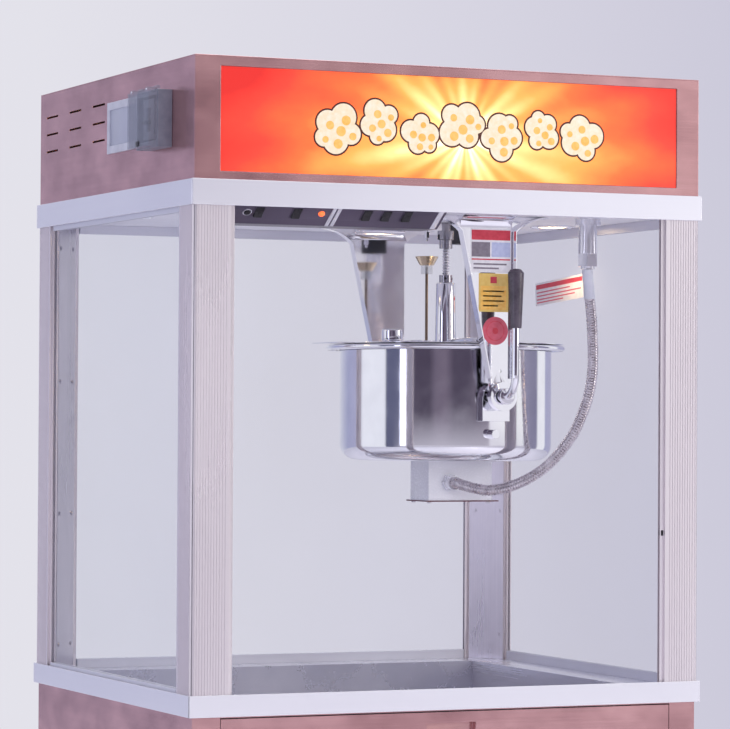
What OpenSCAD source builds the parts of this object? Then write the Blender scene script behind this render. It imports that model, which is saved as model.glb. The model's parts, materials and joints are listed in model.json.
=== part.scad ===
/* [Cabinet] */
// Width over the two trim bands
trim_w = 1000; // [980:5:1030]
// Depth over the two trim bands
trim_d = 846; // [840:2:870]
// Height of the base cabinet's top above the floor
base_top = 760; // [750:5:790]
// Height of the lower trim band
low_trim_h = 38; // [36:1:42]
// Clear height between the two trim bands
window_h = 843; // [838:1:850]
// Height of the upper trim band
up_trim_h = 45; // [43:1:50]
// Height of the sign header
header_h = 214; // [206:1:224]

/* [Posts and glass] */
// Width of each face of a corner post
post_w = 70; // [68:1:76]
// Depth of a post's return behind each face
post_return = 17; // [16:0.5:19]
// Wall of the extruded post
post_wall = 2.4; // [2:0.2:2.8]
// Grooves on each face of a post
flutes = 11; // [7:2:11]
// Thickness of the glass
glass_t = 5; // [4:0.5:5]

/* [Kettle] */
// Radius of the kettle's outer shell
kettle_r = 203; // [199:1:206]
// Radius of the rolled rim
rim_r = 229; // [225:1:231]
// Height of the kettle from its bottom to its rim
kettle_h = 219; // [215:1:223]
// Diameter of the lever's rod
lever_d = 14; // [12:1:16]

/* [Casters] */
// Diameter of a caster's wheel
wheel_d = 80; // [74:2:84]
// Width of a caster's tread
wheel_w = 28; // [24:1:30]

/* [Hidden] */
$fn = 64;

// gaps between pieces that move against each other
gap = 1;
running_gap = 0.06;
sheet = 2;

// the cabinet's levels above the floor
low_top = base_top + low_trim_h;
up_bottom = low_top + window_h;
up_top = up_bottom + up_trim_h;
header_top_z = up_top + header_h;
deck_z = low_top - 12;
ceiling_z = up_bottom + 9;

// the cabinet's half sizes and insets from the trim bands
half_w = trim_w / 2;
half_d = trim_d / 2;
header_inset = 5;
post_inset = 3;
base_inset = 8;
header_x = half_w - header_inset;
header_y = half_d - header_inset;
base_x = half_w - base_inset;
base_y = half_d - base_inset;

// the breaker box stands proud of the left side, so the cabinet sits right of the origin
breaker_reach = 45;
cabinet_x = (breaker_reach - header_inset) / 2;

// the glass plane behind each face of a post
glass_depth = 9;
lip_len = 8;
lip_t = 1.5;
rail_w = 12;
rail_h = 18;
glass_x = half_w - post_inset - glass_depth;
glass_y = half_d - post_inset - glass_depth;
pane_end = 1 + post_inset + post_w;

// the well in the deck
well_x = 400;
well_y = 330;
well_depth = 85;

// the kettle's place and levels
kettle_x = 185;
kettle_y = 10;
pivot_z = 1317;
kettle_bottom = 1196;
rim_z = kettle_bottom + kettle_h;
rim_t = 10;
pan_r = kettle_r - 7;
pan_floor = kettle_bottom + 23;
arm_gap = 240;
arm_t = 3;
arm_flange = 16;
flange_t = 2.5;
arm_top = ceiling_z - pivot_z;
arm_bend = 22;
trunnion_r = 10;
lever_bend = 39;
lever_reach = 301;
grip_z = 1441.7;
bar_z = rim_z + 0.2;
hinge_x = 19;
hinge_z = bar_z + 6.8;
hinge_r = 3;
funnel_x = 4;
funnel_y = 95;
dog_z = 1617;
motor_block_z = 1612;

// the two recessed lamps' places in the ceiling
lights = [[-427, 93], [411, 5]];

// the sloping control panel under the ceiling
panel_x0 = -430;
panel_x1 = 28;
panel_front = -330;
panel_run = 46;
panel_drop = 31;
panel_back = -215;
panel_tilt = 180 - atan2(panel_drop, panel_run);
rocker_x = [-333, -261, -125, -87, -46];
rocker_w = 16;
switch_share = 0.35;
button_r = 6;
lamp_r = 6;
button_x = -356;
lamp_x = -213;

// the breaker box on the left side of the header
breaker_y = -255.5;
breaker_w = 107;
breaker_z = 1747;
breaker_h = 107;
breaker_base_t = 28;
toggle_z = 1798;
cover_hinge = [-header_x - 24, breaker_z + breaker_h - 2];

// the base cabinet's front
base_bottom = 106;
stile_w = 52;
door_z0 = 152;
door_z1 = 632;
door_t = 18;
door_pin_in = 9;
rail_x = base_x - stile_w;
door_edge = rail_x - gap;
drawer_z0 = 640;
drawer_z1 = 756;
tray_x = 395;
tray_z1 = 690;
tray_t = 1.5;
tray_back = 320;
seam = 0.1;
pull_drop = 34;
pull_w = 96;
pull_h = 30;
pull_t = 13;

// the casters
caster_x = 410;
caster_y = 335;
caster_trail = 28;
kingpin_r = 5;
axle_r = 4;
fork_top = 101;
crown_t = 10;
crown_r = 28;
fork_gap = wheel_w / 2 + 3;

// the flexible hose from the kettle's gland up to the ceiling
hose_d = 21;
hose_sides = 12;
hose_points = [[175, -57, 1154], [175, -64, 1154], [180, -76, 1151], [190, -88, 1147], [204, -100, 1143],
  [219, -111, 1141], [238, -126, 1144], [258, -140, 1151], [280, -155, 1163], [302, -170, 1180],
  [321, -183, 1201], [337, -195, 1225], [351, -206, 1251], [361, -214, 1279], [369, -221, 1307],
  [374, -227, 1337], [376, -231, 1367], [375, -234, 1397], [373, -236, 1429], [370, -238, 1461],
  [366, -239, 1494], [362, -240, 1525], [360, -240, 1542], [360, -240, 1555]];
fitting_x = 360;
fitting_y = -240;
gland_x = hose_points[0][0] - kettle_x;

function unit(v) = v / norm(v);
function along(p, i) = unit(p[min(i + 1, len(p) - 1)] - p[max(i - 1, 0)]);
function side(t) = unit(cross(t, [0.3, -0.9, 0.2]));
function ring(p, i, r, n) = [for (k = [0:n - 1])
  p[i] + r * cos(360 * k / n) * side(along(p, i))
       + r * sin(360 * k / n) * cross(along(p, i), side(along(p, i)))];
function arc(cx, cy, r, a0, a1, steps) = [for (k = [0:steps])
  [cx + r * cos(a0 + (a1 - a0) * k / steps), cy + r * sin(a0 + (a1 - a0) * k / steps)]];

// a tube of n flat sides that follows the points
module swept_tube(p, d, n) {
  m = len(p);
  polyhedron(
    points = [for (i = [0:m - 1]) each ring(p, i, d / 2, n)],
    faces = concat(
      [[for (k = [0:n - 1]) k]],
      [for (i = [0:m - 2]) for (k = [0:n - 1])
        for (f = [[i * n + k, (i + 1) * n + k, (i + 1) * n + (k + 1) % n],
                  [i * n + k, (i + 1) * n + (k + 1) % n, i * n + (k + 1) % n]]) f],
      [[for (k = [n - 1:-1:0]) (m - 1) * n + k]]),
    convexity = 10);
}

// a block between two opposite corners
module block(low, high) {
  translate(low) cube(high - low);
}

// everything drawn about the cabinet's centre
module placed() {
  translate([cabinet_x, 0, 0]) children();
}

// everything drawn about the kettle's axis
module at_kettle() {
  translate([cabinet_x + kettle_x, kettle_y, 0]) children();
}

// children drawn for the front left corner, turned into each of the four corners
module at_corners() {
  x = half_w - post_inset;
  y = half_d - post_inset;
  for (c = [[-x, -y, 0], [x, -y, 90], [x, y, 180], [-x, y, 270]])
    translate([c[0], c[1], 0]) rotate([0, 0, c[2]]) children();
}

// outline of a post with its diagonal inner face, grown outwards by g
module post_outline(g) {
  polygon(concat(
    arc(9, 9, 9 + g, 180, 270, 6),
    [[post_w + g, -g], [post_w + g, post_return + g], [post_return + g, post_w + g], [-g, post_w + g]]));
}

// the space left between four posts and their glass channels
module without_posts(z0, z1, g) {
  near = glass_depth - glass_t / 2 - 0.2 - lip_t - g;
  width = glass_t + 0.4 + 2 * (lip_t + g);
  difference() {
    children();
    at_corners() translate([0, 0, z0 - 1]) linear_extrude(z1 - z0 + 2) {
      post_outline(g);
      translate([post_w, near]) square([lip_len + g, width]);
      translate([near, post_w]) square([width, lip_len + g]);
    }
  }
}

// a rectangular ring of sheet about the cabinet's centre
module frame_ring(x, y, t, z0, z1) {
  difference() {
    block([-x, -y, z0], [x, y, z1]);
    block([t - x, t - y, z0 - 1], [x - t, y - t, z1 + 1]);
  }
}

// a trim band: a folded outer wall with one flange that is clamped between the casings
module trim_band(z0, z1, flange_z) {
  difference() {
    union() {
      frame_ring(half_w, half_d, sheet, z0, z1);
      frame_ring(half_w, half_d, 34, flange_z, flange_z + sheet);
    }
    block([-half_w - 1, sheet - half_d, z0 - 1], [sheet - half_w, sheet + 3 - half_d, z1 + 1]);
  }
}

module lower_trim() {
  color("gainsboro") placed() trim_band(base_top, low_top, base_top);
}

module upper_trim() {
  color("gainsboro") placed() trim_band(up_bottom, up_top, up_top - sheet);
}

// a swivelling fork about its kingpin, with its axle behind it by trail
module fork(trail) {
  difference() {
    union() {
      translate([0, 0, fork_top - crown_t]) cylinder(h = crown_t - 1, r = crown_r);
      for (s = [-1, 1])
        translate([s * (fork_gap + 1.5) - 1.5, 0, 0])
          rotate([90, 0, 90]) linear_extrude(3)
            polygon([[-18, fork_top - crown_t + 3], [trail - 9, wheel_d / 2 - 8], [trail + 9, wheel_d / 2 - 8],
              [22, fork_top - crown_t + 3]]);
      translate([-fork_gap - 4, trail, wheel_d / 2]) rotate([0, 90, 0])
        cylinder(h = 2 * fork_gap + 8, r = axle_r);
    }
    translate([0, 0, fork_top - 20]) cylinder(h = 40, r = kingpin_r + running_gap);
  }
}

// a caster wheel on its bore
module wheel(trail) {
  translate([0, trail, wheel_d / 2]) rotate([0, 90, 0])
    difference() {
      union() {
        translate([0, 0, -wheel_w / 2]) cylinder(h = wheel_w, r = wheel_d / 2);
        translate([0, 0, -wheel_w / 2 - 2]) cylinder(h = wheel_w + 4, r = 11);
      }
      translate([0, 0, -wheel_w]) cylinder(h = 2 * wheel_w, r = axle_r + running_gap);
      for (s = [-1, 1])
        translate([0, 0, s * wheel_w / 2 - 4]) difference() {
          cylinder(h = 8, r = 29);
          translate([0, 0, -1]) cylinder(h = 10, r = 14);
        }
    }
}

module swivel_fork_left() {
  color("silver") placed() translate([-caster_x, -caster_y, 0]) fork(caster_trail);
}

module swivel_fork_right() {
  color("silver") placed() translate([caster_x, -caster_y, 0]) fork(caster_trail);
}

module rigid_forks() {
  color("silver") placed() for (s = [-1, 1]) translate([s * caster_x, caster_y, 0]) fork(0);
}

module wheel_front_left() {
  color("dimgray") placed() translate([-caster_x, -caster_y, 0]) wheel(caster_trail);
}

module wheel_front_right() {
  color("dimgray") placed() translate([caster_x, -caster_y, 0]) wheel(caster_trail);
}

module wheel_back_left() {
  color("dimgray") placed() translate([-caster_x, caster_y, 0]) wheel(0);
}

module wheel_back_right() {
  color("dimgray") placed() translate([caster_x, caster_y, 0]) wheel(0);
}

// the base cabinet: side, back and floor sheets, corner stiles, rails, drawer runners and caster plates
module base_cabinet() {
  color("rosybrown") placed() difference() {
    union() {
      difference() {
        block([-base_x, -base_y, base_bottom], [base_x, base_y, base_top]);
        block([sheet - base_x, -base_y - 1, base_bottom + sheet], [base_x - sheet, base_y - sheet, base_top - sheet]);
        block([-well_x - 4, -well_y - 4, base_top - 10], [well_x + 4, well_y + 4, base_top + 10]);
      }
      for (s = [-1, 1]) {
        x0 = s > 0 ? base_x - stile_w : -base_x;
        block([x0, -base_y, base_bottom], [x0 + stile_w, sheet - base_y, base_top]);
        x1 = s > 0 ? base_x - stile_w : stile_w - base_x - sheet;
        block([x1, -base_y, base_bottom], [x1 + sheet, 24 - base_y, base_top]);
        x2 = s > 0 ? tray_x - 12 : -base_x;
        x3 = s > 0 ? base_x : 12 - tray_x;
        block([x2, 26 - base_y, drawer_z0 - 3], [x3, base_y, drawer_z0 - 1]);
      }
      block([-base_x, -base_y, base_bottom], [base_x, sheet - base_y, door_z0 - gap]);
      block([-rail_x, -base_y, door_z0 - 11], [rail_x, 24 - base_y, door_z0 - gap]);
      block([-rail_x, -base_y, door_z1 + gap], [rail_x, 24 - base_y, door_z1 + gap + 4]);
      for (x = [-caster_x, caster_x]) for (y = [-caster_y, caster_y]) {
        block([x - 35, y - 35, base_bottom - 4], [x + 35, y + 35, base_bottom]);
        translate([x, y, fork_top - crown_t]) cylinder(h = 20, r = kingpin_r);
      }
    }
    for (s = [-1, 1])
      translate([s * (door_edge - door_pin_in), door_pin_in - base_y, 0]) {
        translate([0, 0, door_z0 - 30]) cylinder(h = 40, r = axle_r + running_gap);
        translate([0, 0, door_z1 - 2]) cylinder(h = 20, r = axle_r + running_gap);
      }
    translate([300, base_y - 10, 180]) rotate([-90, 0, 0]) cylinder(h = 20, r = 10);
  }
}

// a finger pull pressed into a front sheet whose outer face is at y = 0
module pull_cup() {
  difference() {
    block([-pull_w / 2 - 1.5, 0.5, -pull_h / 2 - 1.5], [pull_w / 2 + 1.5, pull_t + 1.5, pull_h / 2 + 1.5]);
    block([-pull_w / 2, -1, -pull_h / 2], [pull_w / 2, pull_t, pull_h / 2]);
  }
}

module pull_hole() {
  block([-pull_w / 2, -1, -pull_h / 2], [pull_w / 2, 10, pull_h / 2]);
}

// a pan-shaped door hung on two pins, drawn for the left opening
module door_leaf() {
  x0 = -door_edge;
  y0 = -base_y;
  pull_x = -70;
  pull_z = door_z1 - 60;
  translate([0, 0, door_z0]) linear_extrude(door_z1 - door_z0)
    polygon([[x0, y0 + 6], [x0 + 6, y0], [x0 + 18, y0], [x0 + 18, y0 + door_t], [x0 + 6, y0 + door_t],
      [x0, y0 + 12]]);
  difference() {
    union() {
      block([x0 + 17, y0, door_z0], [-1.5, y0 + 1.5, door_z1]);
      block([x0 + 17, y0, door_z0], [-1.5, y0 + door_t, door_z0 + 1.5]);
      block([x0 + 17, y0, door_z1 - 1.5], [-1.5, y0 + door_t, door_z1]);
      block([-3, y0, door_z0], [-1.5, y0 + door_t, door_z1]);
    }
    translate([pull_x, y0, pull_z]) pull_hole();
  }
  translate([pull_x, y0, pull_z]) pull_cup();
  translate([x0 + door_pin_in, y0 + door_pin_in, door_z0 - 8]) cylinder(h = 10, r = axle_r);
  translate([x0 + door_pin_in, y0 + door_pin_in, door_z1 - 2]) cylinder(h = 8, r = axle_r);
}

module door_left() {
  color("rosybrown") placed() door_leaf();
}

module door_right() {
  color("rosybrown") placed() mirror([1, 0, 0]) door_leaf();
}

// the kernel and crumb drawer that slides out under the well: front, floor and three spot-welded walls
module crumb_drawer() {
  y0 = -base_y;
  color("rosybrown") placed() {
    difference() {
      block([-door_edge, y0, drawer_z0], [door_edge, y0 + tray_t, drawer_z1]);
      translate([0, y0, drawer_z1 - pull_drop]) pull_hole();
    }
    translate([0, y0, drawer_z1 - pull_drop]) pull_cup();
    block([-tray_x, y0 + tray_t + seam, drawer_z0], [tray_x, tray_back, drawer_z0 + tray_t]);
    for (x = [-tray_x, tray_x - tray_t])
      block([x, y0 + tray_t + seam, drawer_z0 + tray_t + seam], [x + tray_t, tray_back, tray_z1]);
    block([tray_t + seam - tray_x, tray_back - tray_t, drawer_z0 + tray_t + seam],
      [tray_x - tray_t - seam, tray_back, tray_z1]);
  }
}

// the serving deck with its well and the skirt that stands on the lower trim's flange
module deck_pan() {
  x = half_w - sheet - 0.5;
  y = half_d - sheet - 0.5;
  z_well = deck_z - well_depth;
  color("silver") placed() {
    without_posts(base_top, deck_z, 0.4) difference() {
      union() {
        difference() {
          block([-x, -y, deck_z - 1.5], [x, y, deck_z]);
          block([-well_x, -well_y, deck_z - 5], [well_x, well_y, deck_z + 5]);
        }
        frame_ring(x, y, 1.5, base_top + sheet, deck_z);
      }
    }
    difference() {
      block([-well_x - 1.5, -well_y - 1.5, z_well], [well_x + 1.5, well_y + 1.5, deck_z - 1]);
      block([-well_x, -well_y, z_well + 1.5], [well_x, well_y, deck_z + 5]);
      block([14 - well_x, 14 - well_y, z_well - 5], [well_x - 14, well_y - 14, z_well + 5]);
    }
  }
}

// the slotted plate that lets unpopped kernels fall into the drawer
module sifting_screen() {
  z = deck_z - well_depth + 1.5;
  slots = 32;
  pitch = 2 * (well_x - 26) / slots;
  color("lightgray") placed() difference() {
    block([gap - well_x, gap - well_y, z], [well_x - gap, well_y - gap, z + 1.5]);
    for (i = [0:slots - 1]) for (s = [-1, 1])
      translate([26 - well_x + (i + 0.5) * pitch - 4.5, s * 160 - 140, z - 1]) cube([9, 280, 5]);
  }
}

// four hollow fluted posts with the channels that hold the glass
module corner_posts() {
  pitch = 5.2;
  first = post_w / 2 - (flutes - 1) / 2 * pitch;
  t = post_wall;
  color("lightsteelblue") placed() at_corners()
    translate([0, 0, base_top + sheet]) linear_extrude(up_top - base_top - 2 * sheet) {
      difference() {
        post_outline(0);
        polygon([[t, t], [post_w - t, t], [post_w - t, post_return - 0.414 * t],
          [post_return - 0.414 * t, post_w - t], [t, post_w - t]]);
        for (k = [0:flutes - 1]) {
          translate([first + k * pitch - 1.3, -1]) square([2.6, 1.9]);
          translate([-1, first + k * pitch - 1.3]) square([1.9, 2.6]);
        }
      }
      for (y = [glass_depth - glass_t / 2 - 0.2 - lip_t, glass_depth + glass_t / 2 + 0.2]) {
        translate([post_w - 0.5, y]) square([lip_len + 0.5, lip_t]);
        translate([y, post_w - 0.5]) square([lip_t, lip_len + 0.5]);
      }
    }
}

// the riveted steel plates over the inner face of each post
module post_covers() {
  face = sqrt(2) * (post_w - post_return);
  color("slategray") placed() at_corners()
    translate([(post_w + post_return) / 2, (post_w + post_return) / 2, 0]) rotate([0, 0, -45]) {
      block([1 - face / 2, 0, deck_z + 0.5], [face / 2 - 1, 1.2, ceiling_z - 0.5]);
      for (z = [deck_z + 50, deck_z + 302, ceiling_z - 307, ceiling_z - 50]) for (x = [-26, 26])
        translate([x, 1, z]) rotate([-90, 0, 0]) {
          cylinder(h = 1.4, r = 4.4, $fn = 24);
          cylinder(h = 2.2, r = 2.8, $fn = 24);
        }
    }
}

// the left, right and back panes
module glass_panes() {
  z0 = deck_z + 5;
  z1 = ceiling_z - 5;
  color("lightcyan", 0.3) placed() {
    for (s = [-1, 1])
      block([s * glass_x - glass_t / 2, pane_end - half_d, z0], [s * glass_x + glass_t / 2, half_d - pane_end, z1]);
    block([pane_end - half_w, glass_y - glass_t / 2, z0], [half_w - pane_end, glass_y + glass_t / 2, z1]);
  }
}

// a grooved rail of length len along X, its groove opening upwards
module rail(len) {
  difference() {
    block([-len / 2, -rail_w / 2, 0], [len / 2, rail_w / 2, rail_h]);
    block([-len / 2 - 1, -glass_t / 2 - 0.2, 4.5], [len / 2 + 1, glass_t / 2 + 0.2, rail_h + 1]);
  }
}

// the grooved rails under and over each pane
module glass_rails() {
  long = 2 * (half_w - pane_end - lip_len - 1);
  short = 2 * (half_d - pane_end - lip_len - 1);
  color("gray") placed() {
    for (s = [-1, 1]) {
      translate([s * glass_x, 0, deck_z]) rotate([0, 0, 90]) rail(short);
      translate([s * glass_x, 0, ceiling_z]) mirror([0, 0, 1]) rotate([0, 0, 90]) rail(short);
    }
    translate([0, glass_y, deck_z]) rail(long);
    translate([0, glass_y, ceiling_z]) mirror([0, 0, 1]) rail(long);
  }
}

// the header's four folded walls, with the sign opening and the vent slots
module header_shell() {
  z1 = header_top_z - sheet;
  color("rosybrown") placed() difference() {
    union() {
      frame_ring(header_x, header_y, sheet, up_top, z1);
      frame_ring(header_x, header_y, 30, up_top, up_top + sheet);
    }
    block([-447, -header_y - 1, up_top + 14], [449, sheet + 0.5 - header_y, header_top_z - 18]);
    for (y = [348, 213, 80]) for (z = [1786, 1819, 1852])
      translate([-header_x - 1, y - 34, z - 1.75]) cube([4, 68, 3.5]);
  }
}

module header_top() {
  color("rosybrown") placed() {
    block([-header_x, -header_y, header_top_z - sheet], [header_x, header_y, header_top_z]);
    frame_ring(header_x - sheet - 0.5, header_y - sheet - 5, 1.5, header_top_z - 14, header_top_z - sheet);
  }
}

// the acrylic sign behind the header's front opening
module sign_panel() {
  color("orange") placed()
    block([-462, sheet - header_y, up_top + sheet], [464, sheet + 3 - header_y, header_top_z - 16]);
}

// two lamp tubes on the board behind the sign
module sign_lamps() {
  y = 30 - header_y;
  color("white") placed() {
    block([-450, y - 2, up_top + sheet], [450, y, header_top_z - 20]);
    for (z = [up_top + 62, up_top + 142]) {
      for (s = [-1, 1]) block([s * 410 - 8, y - 18, z - 8], [s * 410 + 8, y - 2, z + 8]);
      translate([-402, y - 11, z]) rotate([0, 90, 0]) cylinder(h = 804, r = 6.5, $fn = 32);
    }
  }
}

// the ceiling sheet with its holes and the skirt that hangs from the upper trim's flange
module ceiling_pan() {
  x = half_w - sheet - 0.5;
  y = half_d - sheet - 0.5;
  color("whitesmoke") placed() without_posts(ceiling_z, up_top, 0.4) difference() {
    union() {
      block([-x, -y, ceiling_z], [x, y, ceiling_z + 1.5]);
      frame_ring(x, y, 1.5, ceiling_z, up_top - sheet);
    }
    translate([kettle_x, kettle_y, ceiling_z - 5]) cylinder(h = 10, r = 20);
    translate([kettle_x + funnel_x, kettle_y + funnel_y, ceiling_z - 5]) cylinder(h = 10, r = 5);
    for (d = lights) translate([d[0], d[1], ceiling_z - 5]) cylinder(h = 10, r = 36);
    translate([fitting_x, fitting_y, ceiling_z - 5]) cylinder(h = 10, r = 9);
  }
}

// two recessed lamps with their bezels
module downlights() {
  color("khaki") placed() for (d = lights) translate([d[0], d[1], 0]) {
    difference() {
      translate([0, 0, ceiling_z - 4]) cylinder(h = 4, r = 43);
      translate([0, 0, ceiling_z - 5]) cylinder(h = 3, r = 34);
    }
    translate([0, 0, ceiling_z - 0.5]) cylinder(h = 38, r = 35.5);
  }
}

// the gear motor that stirs the kettle, on its plate over the ceiling
module gear_motor() {
  z = ceiling_z + 1.5;
  color("dimgray") at_kettle() {
    difference() {
      union() {
        block([-70, -60, z], [70, 110, z + 3]);
        block([-45, -45, z + 2], [45, 55, z + 70]);
        translate([0, 54, z + 38]) rotate([-90, 0, 0]) cylinder(h = 130, r = 34);
        translate([0, 184, z + 38]) rotate([-90, 0, 0]) cylinder(h = 12, r = 24);
      }
      translate([0, 0, z - 5]) cylinder(h = 50, r = 8 + running_gap);
      translate([funnel_x, funnel_y, z - 5]) cylinder(h = 10, r = 5);
    }
    block([31, 10, motor_block_z], [71, 46, ceiling_z]);
    block([31, 10, ceiling_z - 3], [90, 46, ceiling_z]);
  }
}

// the slotted driving half of the coupling, on the motor's output shaft
module drive_dog() {
  color("silver") at_kettle() {
    difference() {
      translate([0, 0, dog_z + gap]) cylinder(h = 17, r = 16);
      translate([-20, -4.3, dog_z]) cube([40, 8.6, 10.5]);
    }
    translate([0, 0, dog_z + 17]) cylinder(h = 50, r = 8);
  }
}

// the oil outlet above the funnel
module oil_nozzle() {
  color("silver") at_kettle() translate([funnel_x, funnel_y, 0]) difference() {
    union() {
      translate([0, 0, 1620]) cylinder(h = 34, r = 3, $fn = 32);
      translate([0, 0, 1626]) cylinder(h = 12, r = 5.5, $fn = 6);
      translate([0, 0, ceiling_z - 3]) cylinder(h = 3, r = 12);
    }
    translate([0, 0, 1610]) cylinder(h = 60, r = 1.6, $fn = 32);
  }
}

// puts children on the sloping face, z out of it and y up it, at the part s of the way down it
module on_panel(x, s) {
  translate([x, panel_front + panel_run * s, ceiling_z - panel_drop * s]) rotate([panel_tilt, 0, 0]) children();
}

// the sheet box under the ceiling that carries the switches
module control_box() {
  z = ceiling_z;
  d = panel_drop;
  color([0.2, 0.18, 0.22]) placed() {
    difference() {
      translate([panel_x0, 0, 0]) rotate([90, 0, 90]) linear_extrude(panel_x1 - panel_x0)
        polygon([[panel_front, z], [panel_front + panel_run, z - d], [panel_back, z - d], [panel_back, z]]);
      translate([panel_x0 + 1.5, 0, 0]) rotate([90, 0, 90]) linear_extrude(panel_x1 - panel_x0 - 3)
        polygon([[panel_front + 4, z + 1], [panel_front + panel_run + 1, z - d + 1.5], [panel_back - 1.5, z - d + 1.5],
          [panel_back - 1.5, z + 1]]);
      for (x = rocker_x) on_panel(x, switch_share) translate([-rocker_w / 2 - 0.6, -13.4, -10])
        cube([rocker_w + 1.2, 26.8, 20]);
      on_panel(button_x, switch_share) translate([0, 0, -10]) cylinder(h = 20, r = button_r + 0.4);
      on_panel(lamp_x, switch_share) translate([0, 0, -10]) cylinder(h = 20, r = lamp_r + 0.2);
    }
    for (x = rocker_x) on_panel(x, switch_share) difference() {
      translate([-rocker_w / 2 - 2.2, -15.4, -0.5]) cube([rocker_w + 4.4, 30.8, 1.7]);
      translate([-rocker_w / 2 - 0.6, -13.4, -2]) cube([rocker_w + 1.2, 26.8, 5]);
    }
    on_panel(button_x, switch_share) difference() {
      translate([0, 0, -0.5]) cylinder(h = 3.5, r = button_r + 3.2);
      translate([0, 0, -2]) cylinder(h = 8, r = button_r + 0.4);
    }
  }
}

// a two-position rocker with one end standing proud
module rocker(x) {
  color("black") placed() on_panel(x, switch_share) translate([-rocker_w / 2, 0, 0])
    rotate([90, 0, 90]) linear_extrude(rocker_w)
      polygon([[-12, -4], [12, -4], [12, 1.6], [0, 2.2], [-12, 5.2]]);
}

module rocker_1() { rocker(rocker_x[0]); }
module rocker_2() { rocker(rocker_x[1]); }
module rocker_3() { rocker(rocker_x[2]); }
module rocker_4() { rocker(rocker_x[3]); }
module rocker_5() { rocker(rocker_x[4]); }

module push_button() {
  color("black") placed() on_panel(button_x, switch_share) translate([0, 0, -4]) cylinder(h = 9, r = button_r);
}

module pilot_lamp() {
  color("orangered") placed() on_panel(lamp_x, switch_share) {
    translate([0, 0, -4]) cylinder(h = 7, r = lamp_r);
    translate([0, 0, 3]) cylinder(h = 1.6, r = 4.4);
  }
}

// the grey breaker box with the breaker inside it
module breaker_box() {
  x0 = -header_x - breaker_base_t;
  y0 = breaker_y - breaker_w / 2;
  y1 = breaker_y + breaker_w / 2;
  z1 = breaker_z + breaker_h - 6;
  color("gray") placed() {
    difference() {
      block([x0, y0, breaker_z], [-header_x, y1, z1]);
      block([x0 - 1, y0 + 8, breaker_z + 12], [-header_x - 3, y1 - 8, z1 - 10]);
    }
    difference() {
      block([x0 + 3, breaker_y - 27, breaker_z + 16], [-header_x - 2, breaker_y + 27, z1 - 14]);
      block([x0 - 5, breaker_y - 10, toggle_z - 21], [x0 + 19, breaker_y + 10, toggle_z + 21]);
    }
  }
}

// the breaker's toggle
module breaker_toggle() {
  color("black") placed() translate([-header_x - breaker_base_t + 11, breaker_y - 9, toggle_z])
    rotate([-90, -22, 0]) {
      cylinder(h = 18, r = 7.4);
      translate([-17, -3.5, 0]) cube([14, 7, 18]);
    }
}

// the clear cover, hinged along its top edge
module breaker_cover() {
  x1 = -header_x - breaker_base_t - 0.6;
  x0 = -header_x - breaker_reach;
  y0 = breaker_y - breaker_w / 2;
  y1 = breaker_y + breaker_w / 2;
  z0 = breaker_z + 1;
  z1 = breaker_z + breaker_h - 7;
  color("lightslategray", 0.5) placed() {
    difference() {
      block([x0, y0, z0], [x1, y1, z1]);
      block([x0 + 2, y0 + 2, z0 + 2], [x1 + 1, y1 - 2, z1 - 2]);
    }
    translate([cover_hinge[0], 0, cover_hinge[1]]) for (s = [-1, 1])
      translate([0, breaker_y + s * 38 - 9, 0]) rotate([-90, 0, 0]) cylinder(h = 18, r = 3.6);
    for (s = [-1, 1]) {
      y = breaker_y + s * 38;
      block([x0 + 2, y - 9, z1 - 3], [x1, y + 9, z1 + 4.5]);
      block([x1 - 1, y - 9, z1 + 2], [cover_hinge[0] - 1, y + 9, z1 + 4.5]);
    }
  }
}

// the pale frame with a window beside the breaker box
module window_bezel() {
  color("lightgray") placed() difference() {
    block([-header_x - 4, -200, 1757], [-header_x, 22, 1851]);
    block([-header_x - 5, -186, 1771], [-header_x - 1.5, 8, 1837]);
  }
}

// the flared edge of an arm, grown outwards by g: the left one, then the right one
function left_edge(g) = concat([[-27 - g, 33]], arc(-154, arm_top - 95, 95 - g, 45, 90, 8));
function right_edge(g) = concat(arc(88, arm_top - 95, 95 - g, 90, 135, 8), [[21 + g, 33]]);
function backwards(p) = [for (i = [len(p) - 1:-1:0]) p[i]];

// the outline of an arm, x across it and y up from the pivot
module arm_outline() {
  difference() {
    union() {
      polygon(concat([[-24, 0]], left_edge(0), right_edge(0), [[21, 0]]));
      circle(r = 27);
    }
    circle(r = trunnion_r + running_gap);
    translate([-3, 47]) circle(r = 3);
  }
}

// one hanging arm with its outward flanges and its bend under the ceiling, drawn for the front
module arm() {
  rotate([90, 0, 0]) {
    linear_extrude(arm_t) arm_outline();
    linear_extrude(arm_t + arm_flange) {
      polygon(concat(left_edge(0), backwards(left_edge(flange_t))));
      polygon(concat(right_edge(0), backwards(right_edge(flange_t))));
    }
    difference() {
      cylinder(h = arm_t + 12, r = 27);
      translate([0, 0, -5]) cylinder(h = 30, r = trunnion_r + running_gap);
    }
  }
  for (s = [0, 1]) translate([0, -s * arm_t, 0]) rotate([0, 0, s * 180])
    translate([s > 0 ? -20 : -86, 0, arm_top - arm_bend]) rotate([90, 0, 90]) linear_extrude(106)
      polygon(concat([[0, arm_bend], [0, 0]], arc(arm_bend, 0, arm_bend, 180, 90, 6)));
}

module arm_front() {
  color("silver") at_kettle() translate([0, -arm_gap, pivot_z]) arm();
}

module arm_rear() {
  color("silver") at_kettle() translate([0, arm_gap, pivot_z]) mirror([0, 1, 0]) arm();
}

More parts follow.
